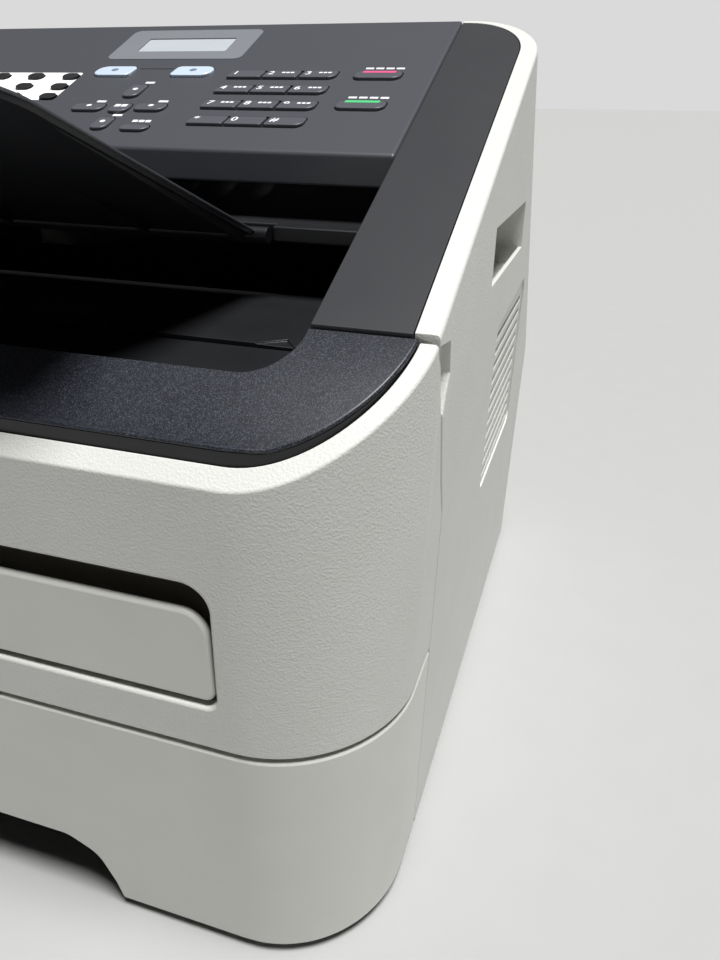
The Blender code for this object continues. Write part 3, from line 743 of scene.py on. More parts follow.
    def envelope(self, inset: float) -> bpy.types.Object:
        """Solid of the body's outer shape, moved inwards by inset.

        Args:
            inset: Distance inwards in millimetres.

        Returns:
            The solid.
        """
        half = self.half_width - inset
        solid = prism("envelope", self.profile(inset), (-half, half))
        peak_y = self.peak[0] - inset - 2.0

        def behind_peak(start: Vector, end: Vector) -> bool:
            """Whether an edge runs up a side behind the peak."""
            along_side = abs(start.x - end.x) < 0.1 and abs(start.z - end.z) > 1.0
            return along_side and min(start.y, end.y) > peak_y

        round_edges(solid, self.rear_radius - inset, behind_peak, 14)
        keep_inside(solid, prism("plan", self.plan(inset, self.rear_y + 5.0), (-20.0, 340.0), Across.Z))
        return solid

    def shell(self, name: str) -> bpy.types.Object:
        """Fresh copy of the body's whole wall.

        Args:
            name: Name of the copy.

        Returns:
            The copy.
        """
        if "wall" not in self.shells:
            outer = self.envelope(0.0)
            round_edges(outer, 1.5, lambda start, end: min(start.z, end.z) > self.knee_z + 5.0, 5, 38.0)
            self.shells["wall"] = cut(outer, self.envelope(self.wall))
        return copy_of(self.shells["wall"], name)

    def clear(self) -> None:
        """Remove the shells that the pieces were copied from."""
        for shell in self.shells.values():
            bpy.data.objects.remove(shell, do_unlink=True)
        self.shells.clear()

    def side_seam(self, offset: float) -> list[Point]:
        """Seam between the front cover and the side cover, moved back by offset."""
        return [(y + offset, z) for y, z in self.seam]

    def strip(self, start_y: float, end_y: float, top: float, bottom: float) -> list[Point]:
        """Side view of a plate along the slope, between two depths below its surface.

        Args:
            start_y: Front end of the plate.
            end_y: Rear end of the plate.
            top: Depth of its upper face.
            bottom: Depth of its lower face.

        Returns:
            Anticlockwise (Y, Z) outline.
        """
        lower = bottom / math.cos(self.slope)
        upper = top / math.cos(self.slope)
        return [(start_y, self.slope_z(start_y) - lower), (end_y, self.slope_z(end_y) - lower),
                (end_y, self.slope_z(end_y) - upper), (start_y, self.slope_z(start_y) - upper)]

    def place(self, thing: bpy.types.Object, finish: Finish, body: str, slot: str,
              replaces: Iterable[str] = (), drafted: bool = False) -> bpy.types.Object:
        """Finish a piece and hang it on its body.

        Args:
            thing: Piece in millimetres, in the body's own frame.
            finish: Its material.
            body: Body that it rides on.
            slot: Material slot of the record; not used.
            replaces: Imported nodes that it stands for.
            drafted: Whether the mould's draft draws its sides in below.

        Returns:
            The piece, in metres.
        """
        if drafted:
            for vertex in thing.data.vertices:
                fall = max(0.0, self.draft_top_z - vertex.co.z) / self.draft_top_z
                vertex.co.x *= 1.0 - self.draft * fall
        thing.data.transform(Matrix.Scale(MM, 4) @ Matrix.Translation((0.0, self.shift_y, 0.0)))
        thing.data.materials.clear()
        thing.data.materials.append(finish.material())
        thing.data.shade_smooth()
        thing.data.set_sharp_from_angle(angle=SHARP_ANGLE)
        thing.modifiers.new("normals", "WEIGHTED_NORMAL").keep_sharp = True
        bake(thing)
        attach(thing, body)
        names = list(replaces)
        if names:
            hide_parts(*names)
        LOG.info("%s rides on %s, %d faces", thing.name, body, len(thing.data.polygons))
        return thing


# ---------------------------------------------------------------- casing

@dataclass
class Casing:
    """The pale shells and the dark tops of the arms."""

    form: BodyForm
    slot_half: float = 133.6
    slot_z: Point = (111.7, 155.6)
    slot_radii: tuple[float, ...] = (4.0, 4.0, 9.0, 9.0)
    slot_cover_top: float = 146.0
    cover_bottom: float = 95.8
    tray_top: float = 94.0
    gap: float = 0.35
    seam_gap: float = 0.7
    step: float = 0.9
    recess_front: float = -154.5
    recess_floor: Point = (-111.0, 203.0)
    floor_rear_z: float = 170.0
    grip_y: Point = (-45.6, 45.5)
    grip_z: Point = (212.6, 233.2)
    grip_depth: float = 14.0
    louvre_count: int = 11
    louvre_y: Point = (-8.0, 78.0)
    louvre_z: Point = (116.0, 182.0)
    louvre_height: float = 3.2
    rear_cover_half: float = 118.0
    rear_cover_z: Point = (48.0, 138.0)

    def build(self) -> None:
        """Make every shell."""
        self.front_cover()
        self.front_insert()
        self.slot_cover()
        self.side_covers()
        self.arm_covers()
        self.tray_front()
        self.rear()
        self.form.clear()

    def front_cover(self) -> None:
        """Cover that carries the slot and the pale rim, open above for the dark top."""
        form = self.form
        cover = loft("front_cover_shell", self.cover_rings())
        half = self.slot_half
        mouth = self.slot_outline(0.0, self.slot_radii)
        cut(cover, prism("slot_mouth", mouth, (-190.0, -170.0), Across.Y))

        def mouth_edge(start: Vector, end: Vector) -> bool:
            """Whether an edge runs round the slot on the front face."""
            low, high = self.slot_z[0] - 0.1, self.slot_z[1] + 0.1
            on_face = max(start.y, end.y) < form.front_y + 0.1
            return on_face and low < min(start.z, end.z) and max(start.z, end.z) < high

        round_edges(cover, 1.2, mouth_edge, 5, 38.0)
        region = form.side_seam(-self.seam_gap)[:-1]
        region += [(form.seam[-1][0] - self.seam_gap, 60.0), (-210.0, 60.0), (-210.0, 330.0)]
        keep_inside(cover, prism("region", region, (-200.0, 200.0)))
        round_edges(cover, 0.7, self.seam_edge, 3, 38.0)
        self.sink(cover)
        form.place(cover, WHITE_GRAINED, "front_cover", "white_plastic", ["front_cover"], drafted=True)
        tunnel = self.slot_outline(1.0, (5.0, 5.0, 10.0, 10.0))
        throat = prism("slot_throat", tunnel, (form.front_y + 4.0, form.front_y + 13.0), Across.Y)
        bore = self.slot_outline(-0.2, self.slot_radii)
        cut(throat, prism("bore", bore, (form.front_y, form.front_y + 11.5), Across.Y))
        join(throat, block("throat_rib", (-half + 2, half - 2), (form.front_y + 9.5, form.front_y + 12.0),
                           (149.4, 150.6)))
        soften(throat, 0.4, 2)
        form.place(throat, INNER_GREY, "front_cover", "inner_plastic")

    def slot_outline(self, grow: float, radii: tuple[float, ...]) -> list[Point]:
        """Outline of the manual feed slot.

        Args:
            grow: How far it is grown, or drawn in when negative.
            radii: Radius at each corner, from the lower left, anticlockwise.

        Returns:
            Anticlockwise (X, Z) outline.
        """
        half = self.slot_half + grow
        return rounded_box((-half, half), (self.slot_z[0] - grow, self.slot_z[1] + grow), radii)

    def cover_rings(self) -> list[list[Vector]]:
        """Cross-sections of the front cover, from its right end round the front to its left one.

        Returns:
            One closed ring of points for each place along the cover.
        """
        form = self.form
        middle = Vector((form.half_width - form.front_radius, form.front_y + form.front_radius))
        stations = [(Vector((form.half_width, y)), 0.0) for y in (-100.0, -120.0)]
        stations += [(middle + Vector((math.cos(turn), math.sin(turn))) * form.front_radius, turn)
                     for turn in (math.radians(-90.0 * step / 30) for step in range(31))]
        stations += [(Vector((-spot.x, spot.y)), math.pi - turn) for spot, turn in stations[::-1]]
        rings = []
        for spot, turn in stations:
            inward = -Vector((math.cos(turn), math.sin(turn)))
            crest = form.crown_z((spot + inward * form.rim).y)
            corners = [(0.0, self.cover_bottom), (form.wall, self.cover_bottom), (form.wall, crest - 7.0),
                       (form.rim, crest - 7.0), (form.rim, crest), (0.0, form.crown_z(spot.y))]
            section = rounded(corners, (0.6, 0.0, 0.0, 0.0, 0.4, 1.4), 6)
            rings.append([Vector((*(spot + inward * depth), z)) for depth, z in section])
        return rings

    def seam_edge(self, start: Vector, end: Vector) -> bool:
        """Whether an edge runs along the upright seam on the outer side.

        Args:
            start: One end of the edge.
            end: Its other end.

        Returns:
            True for an edge to round.
        """
        outside = min(abs(start.x), abs(end.x)) > self.form.half_width - 0.05
        along = max(start.y, end.y) < -105.0 and max(start.z, end.z) < 212.0
        return outside and along and abs(start.z - end.z) > 1.0

    def sink(self, thing: bpy.types.Object) -> None:
        """Set the top of the front cover a step below the arms.

        Args:
            thing: Piece to lower, most where it is highest.
        """
        for vertex in thing.data.vertices:
            share = min(1.8, max(0.0, (vertex.co.z - 160.0) / 27.0))
            vertex.co.z -= self.step * share

    def proud(self, y: float) -> float:
        """Height of the dark top above the pale rim at y, most at the front.

        Args:
            y: Place along the body.

        Returns:
            The height in millimetres.
        """
        share = (self.form.arm_front[0] - y) / (self.form.arm_front[0] - self.form.front_y)
        return 1.1 + 2.3 * min(1.0, max(0.0, share))

    def front_insert(self) -> None:
        """Dark top of the front cover, with its bead and the band down to the tray."""
        form = self.form
        inset = form.rim + self.gap
        front = form.front_y + inset
        rear = form.arm_front[0] - 0.9
        levels = [front - 4.0, *[y for y in form.levels(inset) if y > front + 1.8], rear + 9.0]
        crown = [(y, form.top_z(max(y, front)) + self.proud(y)) for y in levels]
        half = form.arm_inner_x
        recess = rounded_box((-half, half), (self.recess_front, -90.0), (15.0, 15.0, 0.0, 0.0), 12)

        def upper_edge(start: Vector, end: Vector) -> bool:
            """Whether an edge lies in the upper face."""
            return min(start.z - form.top_z(start.y), end.z - form.top_z(end.y)) > 0.4

        # The top layer carries the flakes' painted glints; the side band below it is plain black.
        layers = (("front_top_dark", 0.0, 1.3, 0.0, BLACK_SPECKLED),
                  ("front_top_side", 1.25, 9.0, 0.15, BLACK_SATIN))
        for name, top, bottom, back, finish in layers:
            upper = [(y, z - top) for y, z in crown]
            lower = [(y, z - bottom) for y, z in crown]
            layer = prism(name, lower + upper[::-1], (-form.half_width, form.half_width))
            keep_inside(layer, prism("plan", form.plan(inset + back, rear + 8.0), (150.0, 260.0), Across.Z))
            if not top:
                round_edges(layer, 0.7, upper_edge, 5, 38.0)
            cut(layer, block("rear_trim", (-200.0, 200.0), (rear, -100.0), (150.0, 260.0)))
            cut(layer, prism("recess", recess, (150.0, 260.0), Across.Z))
            soften(layer, 0.3, 3, 50.0)
            self.sink(layer)
            form.place(layer, finish, "front_cover", "black_plastic", [] if top else ["front_top_insert"])
        self.recess_band()

    def recess_band(self) -> None:
        """Sloping band between the dark top and the tray, with a wall under its rounded corners."""
        form = self.form
        start = self.recess_front
        end = self.recess_floor[0] - 0.8
        top = form.top_z(start)
        half = form.arm_inner_x - 0.4
        side = [(start - 4.0, top - 8.0), (end, self.recess_floor[1] - 3.0), (end, self.recess_floor[1]),
                (start + 2.0, top - 4.4), (start - 4.0, top - 5.2)]
        band = prism("tray_band", side, (-half, half))
        plan = rounded_box((-half, half), (start + 0.3, -90.0), (15.0, 15.0, 0.0, 0.0), 12)
        outer = rounded_box((-half, half), (start - 2.0, -90.0), (17.0, 17.0, 0.0, 0.0), 12)
        wall = prism("band_wall", outer, (top - 5.0, form.top_z(-137.0) - 3.2), Across.Z)
        cut(wall, prism("band_inner", plan, (150.0, 260.0), Across.Z))
        lid = [(start - 12.0, top - 30.0), (form.arm_front[0] - 0.6, top - 30.0)]
        lid += [(y, form.top_z(y) - 2.0) for y in (form.arm_front[0] - 0.6, -145.0, start, start - 12.0)]
        keep_inside(wall, prism("under_top", lid, (-200.0, 200.0)))
        join(band, wall)
        soften(band, 0.5, 3)
        self.sink(band)
        form.place(band, BLACK_SATIN, "front_cover", "black_plastic")

    def slot_cover(self) -> None:
        """Flap that closes most of the slot, with a lip round its upper edge."""
        form = self.form
        half = self.slot_half - 2.1
        bottom = self.slot_z[0] + 1.9
        outline = rounded_box((-half, half), (bottom, self.slot_cover_top), (3.5, 3.5, 8.5, 8.5), 10)
        cover = prism("slot_cover_plate", outline, (form.front_y + 0.8, form.front_y + 3.8), Across.Y)
        soften(cover, 1.4, 5)
        form.place(cover, WHITE_FINE, "manual_feed_cover", "white_plastic", ["manual_feed_cover"])

    def side_covers(self) -> None:
        """Right side cover with its grip, louvres and notch, and the left one as its mirror image."""
        form = self.form
        region = form.side_seam(self.seam_gap)[:-1]
        region += [(form.seam[-1][0] + self.seam_gap, -10.0), (210.0, -10.0), (210.0, 330.0)]
        cover = form.shell("side_shell_right")
        keep_inside(cover, prism("region", region, (form.arm_inner_x, 200.0)))
        rear_y = form.peak[0] - 2.5
        opening = prism("strip_opening", form.strip(-150.0, rear_y, -12.0, 12.0), (130.0, form.rim_outer_x))
        round_edges(opening, 28.0, self.rear_outer(form.rim_outer_x, rear_y), 20)
        cut(cover, opening)
        outer = form.half_width
        depth = (outer - self.grip_depth, outer + 5.0)
        hollow = block("grip_hollow", depth, self.grip_y, self.grip_z)
        sunk = (self.grip_z[0] - 8.0, self.grip_z[1])
        pocket = block("grip_pocket", (depth[0] - 2.0, outer - 2.0), (self.grip_y[0] - 2.0, self.grip_y[1] + 2.0),
                       (sunk[0] - 2.0, sunk[1] + 2.0))
        join(cover, pocket)
        cut(cover, hollow, block("grip_well", (depth[0], outer - 1.8), self.grip_y, sunk))
        self.cut_louvres(cover)
        notch = [(-140.0, 205.0), (-127.5, 189.0), (-119.0, 203.0), (-121.0, 213.0), (-140.0, 216.0)]
        cut(cover, prism("finger_notch", notch, (outer - 2.5, outer + 5.0)))
        round_edges(cover, 0.7, self.seam_edge, 3, 38.0)
        soften(cover, 0.7, 3, 50.0)
        twin = mirror(cover, "side_shell_left")
        for piece, node in ((cover, "side_cover_right"), (twin, "side_cover_left")):
            form.place(piece, WHITE_GRAINED, "chassis", "white_plastic", [node], drafted=True)

    def cut_louvres(self, cover: bpy.types.Object) -> None:
        """Cut the shallow field and the row of slots into a side cover.

        Args:
            cover: Right side cover.
        """
        outer = self.form.half_width
        field_y = (self.louvre_y[0] - 5.0, self.louvre_y[1] + 5.0)
        low, high = self.louvre_z[0] - 5.0, self.louvre_z[1] + 6.0
        corners = [(field_y[0], low), (field_y[1], low), (field_y[1], high + 4.0), (field_y[0], high)]
        for name, span in (("louvre_field", (outer - 0.9, outer + 5.0)),
                           ("louvre_thinning", (outer - 12.0, outer - 2.6))):
            cut(cover, prism(name, rounded(corners, (6.0,) * 4), span))
        step = (self.louvre_z[1] - self.louvre_z[0]) / (self.louvre_count - 1)
        half = self.louvre_height / 2
        for index in range(self.louvre_count):
            z = self.louvre_z[0] + step * index
            gap = rounded_box(self.louvre_y, (z - half, z + half), half * 0.98, 6)
            cut(cover, prism("louvre", gap, (outer - 10.0, outer + 5.0)))

    @staticmethod
    def rear_outer(outer_x: float, rear_y: float) -> EdgeTest:
        """Test for the short upright edge at a strip's rear outer corner.

        Args:
            outer_x: Outer side of the strip.
            rear_y: Rear end of the strip.

        Returns:
            The test.
        """

        def chosen(start: Vector, end: Vector) -> bool:
            """Whether an edge is the one at that corner."""
            return min(start.x, end.x) > outer_x - 0.1 and min(start.y, end.y) > rear_y - 0.1

        return chosen

    def arm_covers(self) -> None:
        """Dark top of the right arm with its inner wall, and the left one as its mirror image."""
        form = self.form
        front_y = form.arm_front[0] + self.gap
        rear_y = form.peak[0] - 2.9
        outer_x = form.rim_outer_x - self.gap
        arm = prism("arm_strip_right", form.strip(front_y, rear_y, 0.0, 3.2), (form.arm_inner_x, outer_x))
        round_edges(arm, 28.0, self.rear_outer(outer_x, rear_y), 20)
        floor_y, floor_z = self.recess_floor
        low = self.floor_rear_z - 4.0
        crown = form.strip(front_y, rear_y - 0.5, 1.0, 1.0)
        wall = [(rear_y - 0.5, low), crown[1], crown[0], (front_y, 206.0), (floor_y, floor_z - 2.0), (floor_y, low)]
        join(arm, prism("arm_wall", wall, (form.arm_inner_x, form.arm_inner_x + 3.0)))
        drop = [(front_y, 200.0), (front_y + 2.5, 200.0), (front_y + 2.5, form.slope_z(front_y) - 1.0),
                (front_y, form.slope_z(front_y) - 1.5)]
        join(arm, prism("arm_front_wall", drop, (form.arm_inner_x, outer_x - 1.0)))
        soften(arm, 0.8, 4)
        twin = mirror(arm, "arm_strip_left")
        for piece, node in ((arm, "arm_cover_right"), (twin, "arm_cover_left")):
            form.place(piece, ARM_GREY, "chassis", "grey_plastic", [node])

    def tray_front(self) -> None:
        """Front of the paper tray, with the hand recess below and a black plate of painted shade behind it."""
        form = self.form
        top = self.tray_top
        region = block("region", (-200.0, 200.0), (-210.0, form.seam[-1][0] - self.gap), (4.0, top))
        front = keep_inside(form.shell("tray_front_shell"), region)
        round_edges(front, 1.2, lambda start, end: min(start.z, end.z) > top - 0.1, 5, 50.0)
        recess = [(-88.0, -2.0), (88.0, -2.0), (84.0, 12.0), (78.0, 25.0), (66.0, 31.0), (-66.0, 31.0),
                  (-78.0, 25.0), (-84.0, 12.0)]
        radii = (0.0, 0.0, 8.0, 12.0, 10.0, 10.0, 12.0, 8.0)
        cut(front, prism("hand_recess", rounded(recess, radii, 6), (-190.0, -170.0), Across.Y))
        soften(front, 0.9, 4, 50.0)
        form.place(front, WHITE_FINE, "paper_tray", "white_plastic", ["tray_front"], drafted=True)
        # Black plate that closes the back of the hand recess: its black is painted shade in the recess.
        shade = rounded([(-90.0, 8.0), (90.0, 8.0), (82.0, 34.0), (-82.0, 34.0)], (0.0, 0.0, 12.0, 12.0))
        back = prism("hand_recess_shade_plate", shade, (-158.0, -155.5), Across.Y)
        soften(back, 0.5, 2)
        form.place(back, INNER_BLACK, "paper_tray", "inner_plastic")

    def rear(self) -> None:
        """Rear housing with its openings and vents, and the cover over the fuser."""
        form = self.form
        half = form.arm_inner_x - self.gap
        housing = form.shell("rear_shell")
        keep_inside(housing, block("region", (-half, half), (81.0, 200.0), (-5.0, 330.0)))
        cover_half = self.rear_cover_half
        opening = rounded_box((-cover_half, cover_half), self.rear_cover_z, (0.8, 0.8, 4.0, 4.0))
        cut(housing, prism("rear_opening", opening, (170.0, 190.0), Across.Y))
        cut(housing, block("inlet_opening", (-132.3, -103.7), (170.0, 190.0), (17.7, 38.3)))
        for x in (96.0, 118.0):
            cut(housing, block("line_socket", (x - 6.0, x + 6.0), (form.rear_y - 3.0, 190.0), (20.0, 31.0)))
        for column in range(14):
            x = -22.0 + column * 7.0
            vent = rounded_box((x, x + 3.0), (14.0, 38.0), 1.4, 5)
            cut(housing, prism("vent", vent, (form.rear_y - 2.0, 190.0), Across.Y))
        soften(housing, 0.7, 3)
        form.place(housing, WHITE_GRAINED, "chassis", "white_plastic", ["rear_housing"])
        half = cover_half - 0.6
        low, high = self.rear_cover_z
        outline = rounded_box((-half, half), (low + 0.9, high - 0.6), 3.5)
        cover = prism("rear_cover_plate", outline, (form.rear_y - 3.7, form.rear_y), Across.Y)
        pull = rounded_box((-18.0, 18.0), (high - 14.0, 200.0), (5.0, 5.0, 0.0, 0.0))
        cut(cover, prism("rear_pull", pull, (form.rear_y - 2.2, 190.0), Across.Y))
        soften(cover, 0.8, 3)
        form.place(cover, WHITE_GRAINED, "rear_cover", "white_plastic", ["rear_cover"])


# ---------------------------------------------------------------- output tray and document path

@dataclass
class PaperPath:
    """The black tray where printed sheets land, and the document inlet and outlet above it."""

    form: BodyForm
    floor_front: Point = (-111.0, 203.0)
    floor_crest: Point = (-55.0, 205.5)
    floor_rear: Point = (22.0, 172.0)
    flap_half: float = 98.0
    flap_axis: Point = (-62.0, 228.5)
    flap_angle: float = math.radians(21.0)
    flap_tip_y: float = -189.0
    flap_thickness: float = 2.4
    support_axis: Point = (84.0, 277.0)
    support_length: float = 95.0
    support_half: float = 80.0

    def build(self) -> None:
        """Make the tray, the chute, the flap, the support and the guides."""
        self.tray_panel()
        self.chute()
        self.flap()
        self.support()
        self.guides()

    def tray_panel(self) -> None:
        """Sloping floor with its curved rear stop and two notches at the front edge."""
        form = self.form
        half = form.arm_inner_x - 0.4
        front, crest, rear = self.floor_front, self.floor_crest, self.floor_rear
        top = [front, crest, rear, (rear[0] + 16.0, rear[1] + 6.0), (rear[0] + 24.0, rear[1] + 26.0)]
        under = [(rear[0] + 27.0, rear[1] + 26.0), (rear[0] + 19.0, rear[1] + 4.0), (rear[0], rear[1] - 3.0),
                 (crest[0], crest[1] - 3.2), (front[0], front[1] - 3.0)]
        panel = prism("output_tray_floor", under[::-1] + top[::-1], (-half, half))
        for x in (-124.0, -20.0, 20.0, 124.0):
            notch = [(x - 9.0, front[0] - 2.0), (x + 9.0, front[0] - 2.0), (x + 3.0, front[0] + 6.0)]
            cut(panel, prism("notch", notch, (front[1] - 0.4, front[1] + 5.0), Across.Z))
        soften(panel, 0.5, 3)
        form.place(panel, BLACK_SATIN, "chassis", "black_plastic", ["output_tray_panel"])
        rib_side = [(crest[0] + 2.0, crest[1] - 2.0), (rear[0] - 6.0, rear[1] + 1.0),
                    (rear[0] - 2.0, rear[1] + 4.0), (crest[0] + 8.0, crest[1] + 0.5)]
        for index, x in enumerate((-110.0, -66.0, -22.0, 22.0, 66.0, 110.0)):
            rib = soften(prism(f"tray_rib_{index}", rib_side, (x - 1.0, x + 1.0)), 0.4, 2)
            form.place(rib, BLACK_SATIN, "chassis", "black_plastic")

    def chute(self) -> None:
        """Sloping shelf that documents leave over, notched for the flap."""
        form = self.form
        half = form.arm_inner_x - 0.4
        top = [(-60.0, 231.5), (-46.0, 233.2), (50.0, 276.5), (80.0, 282.0)]
        under = [(-60.0, 226.0), (-52.0, 226.0), (-40.0, 229.0), (52.0, 272.0), (80.0, 278.0)]
        chute = prism("document_chute_shelf", under + top[::-1], (-half, half))
        notch = self.flap_half + 5.0
        cut(chute, block("flap_notch", (-notch, notch), (-70.0, -56.0), (215.0, 240.0)))
        soften(chute, 0.8, 3)
        form.place(chute, BLACK_SATIN, "chassis", "black_plastic", ["document_chute"])

    def flap(self) -> None:
        """Raised flap, ribbed below, that catches the documents as they come out; the black of its underside is
        painted shade.
        """
        form = self.form
        length = (self.flap_axis[0] - self.flap_tip_y) / math.cos(self.flap_angle)
        half, thick = self.flap_half, self.flap_thickness
        outline = rounded_box((-half, half), (0.0, length - 0.8), (0.0, 0.0, 16.0, 16.0), 12)
        plate = prism("flap_plate", outline, (thick / 2 - 0.9, thick / 2), Across.Z)
        soften(plate, 0.3, 2)
        turn = Matrix(((1, 0, 0, 0), (0, -math.cos(self.flap_angle), math.sin(self.flap_angle), self.flap_axis[0]),
                       (0, math.sin(self.flap_angle), math.cos(self.flap_angle), self.flap_axis[1]), (0, 0, 0, 1)))
        outline = rounded_box((-half + 0.3, half - 0.3), (4.0, length - 1.1), (0.0, 0.0, 15.7, 15.7), 12)
        liner = prism("flap_liner", outline, (-thick / 2, thick / 2 - 0.8), Across.Z)
        for side in (-1, 1):
            rail = [(8.0, -0.5), (8.0, -4.6), (length - 26.0, -1.6), (length - 20.0, -0.5)]
            join(liner, prism("flap_rail", rail, (side * (half - 2.0) - 0.8, side * (half - 2.0) + 0.8)))
        for x in (-60.0, 0.0, 60.0):
            gusset = [(14.0, -0.5), (14.0, -4.4), (17.0, -4.4), (62.0, -0.5)]
            join(liner, prism("flap_gusset", gusset, (x - 1.0, x + 1.0)))
        join(liner, rod("flap_barrel", 3.0, (-half - 4.5, half + 4.5), (0.0, 0.0), 32))
        soften(liner, 0.3, 2)
        # The grey plate is the flap's own colour; the ribbed liner and the barrel below it are black as painted shade
        # of the underside.
        for piece, finish in ((plate, GREY_SATIN), (liner, BLACK_SATIN)):
            piece.data.transform(turn)
            piece.data.flip_normals()
            form.place(piece, finish, "output_flap", "black_plastic", ["output_flap"] if piece is plate else [])

    def support(self) -> None:
        """Folded support for the documents that wait behind the panel."""
        form = self.form
        fall = math.atan2(form.peak[1] - form.knee_z, form.rear_y - form.peak[0])
        half, length = self.support_half, self.support_length
        outline = rounded_box((-half, half), (0.0, length), (0.0, 0.0, 14.0, 14.0), 10)
        plate = prism("document_support_plate", outline, (-1.5, 1.5), Across.Z)
        window = rounded_box((-half + 14.0, half - 14.0), (16.0, length - 16.0), 6.0)
        cut(plate, prism("window", window, (0.5, 3.0), Across.Z))
        for index in range(5):
            x = -48.0 + 24.0 * index
            join(plate, block("support_rib", (x - 1.0, x + 1.0), (15.0, length - 15.0), (0.0, 1.4)))
        join(plate, rod("support_barrel", 2.4, (-half - 5.0, half + 5.0), (0.0, 0.0), 32))
        soften(plate, 0.5, 3)
        turn = Matrix(((1, 0, 0, 0), (0, math.cos(fall), math.sin(fall), self.support_axis[0]),
                       (0, -math.sin(fall), math.cos(fall), self.support_axis[1]), (0, 0, 0, 1)))
        plate.data.transform(turn)
        form.place(plate, BLACK_SATIN, "document_support", "black_plastic", ["document_support"])

    def guides(self) -> None:
        """Pair of sliding guides at the document inlet."""
        form = self.form
        fin = rounded([(67.0, 283.1), (79.0, 283.1), (79.0, 294.0), (73.0, 297.0), (67.0, 297.0)],
                      (0.6, 0.6, 3.0, 3.0, 3.0), 6)
        guide = prism("inlet_guide_right", fin, (105.5, 108.0))
        join(guide, block("guide_foot", (106.0, 120.0), (69.0, 79.0), (283.1, 284.6)))
        for y in (71.0, 74.0, 77.0):
            join(guide, block("guide_grip", (107.5, 109.2), (y - 0.6, y + 0.6), (286.0, 293.0)))
        soften(guide, 0.35, 2)
        twin = mirror(guide, "inlet_guide_left")
        for piece, body in ((guide, "document_guide_right"), (twin, "document_guide_left")):
            form.place(piece, BLACK_SATIN, body, "black_plastic", [body])


# ---------------------------------------------------------------- control panel

class Corner(Enum):
    """How a key's ends are drawn, as radii from the lower left, anticlockwise."""

    SQUARE = (0.8, 0.8, 0.8, 0.8)
    RIGHT_END = (0.8, 3.4, 1.2, 0.8)
    LOZENGE = (3.0, 3.6, 2.4, 2.4)
    UPRIGHT = (3.2, 3.4, 1.6, 1.6)
    LEFT_END = (4.6, 2.4, 2.4, 4.6)
    RIGHT_ROUND = (2.4, 4.6, 4.6, 2.4)
    OVAL = (2.5, 2.5, 2.5, 2.5)


DIGIT_MARKS = ("1", "2", "3", "4", "5", "6", "7", "8", "9", "star", "0", "hash")


@dataclass(frozen=True)
class Key:
    """One key: centre across and up the panel, width, length, shape and its mark."""

    name: str
    x: float
    s: float
    width: float
    length: float
    corner: Corner = Corner.LOZENGE
    mark: str = ""

    def outline(self, grow: float = 0.0) -> list[Point]:
        """Outline of the key or, grown, of its hole.

        Args:
            grow: How far it is grown.

        Returns:
            Anticlockwise outline in the panel's frame.
        """
        x = (self.x - self.width / 2 - grow, self.x + self.width / 2 + grow)
        s = (self.s - self.length / 2 - grow, self.s + self.length / 2 + grow)
        return rounded(rectangle(x, s), [radius + grow for radius in self.corner.value], 8)


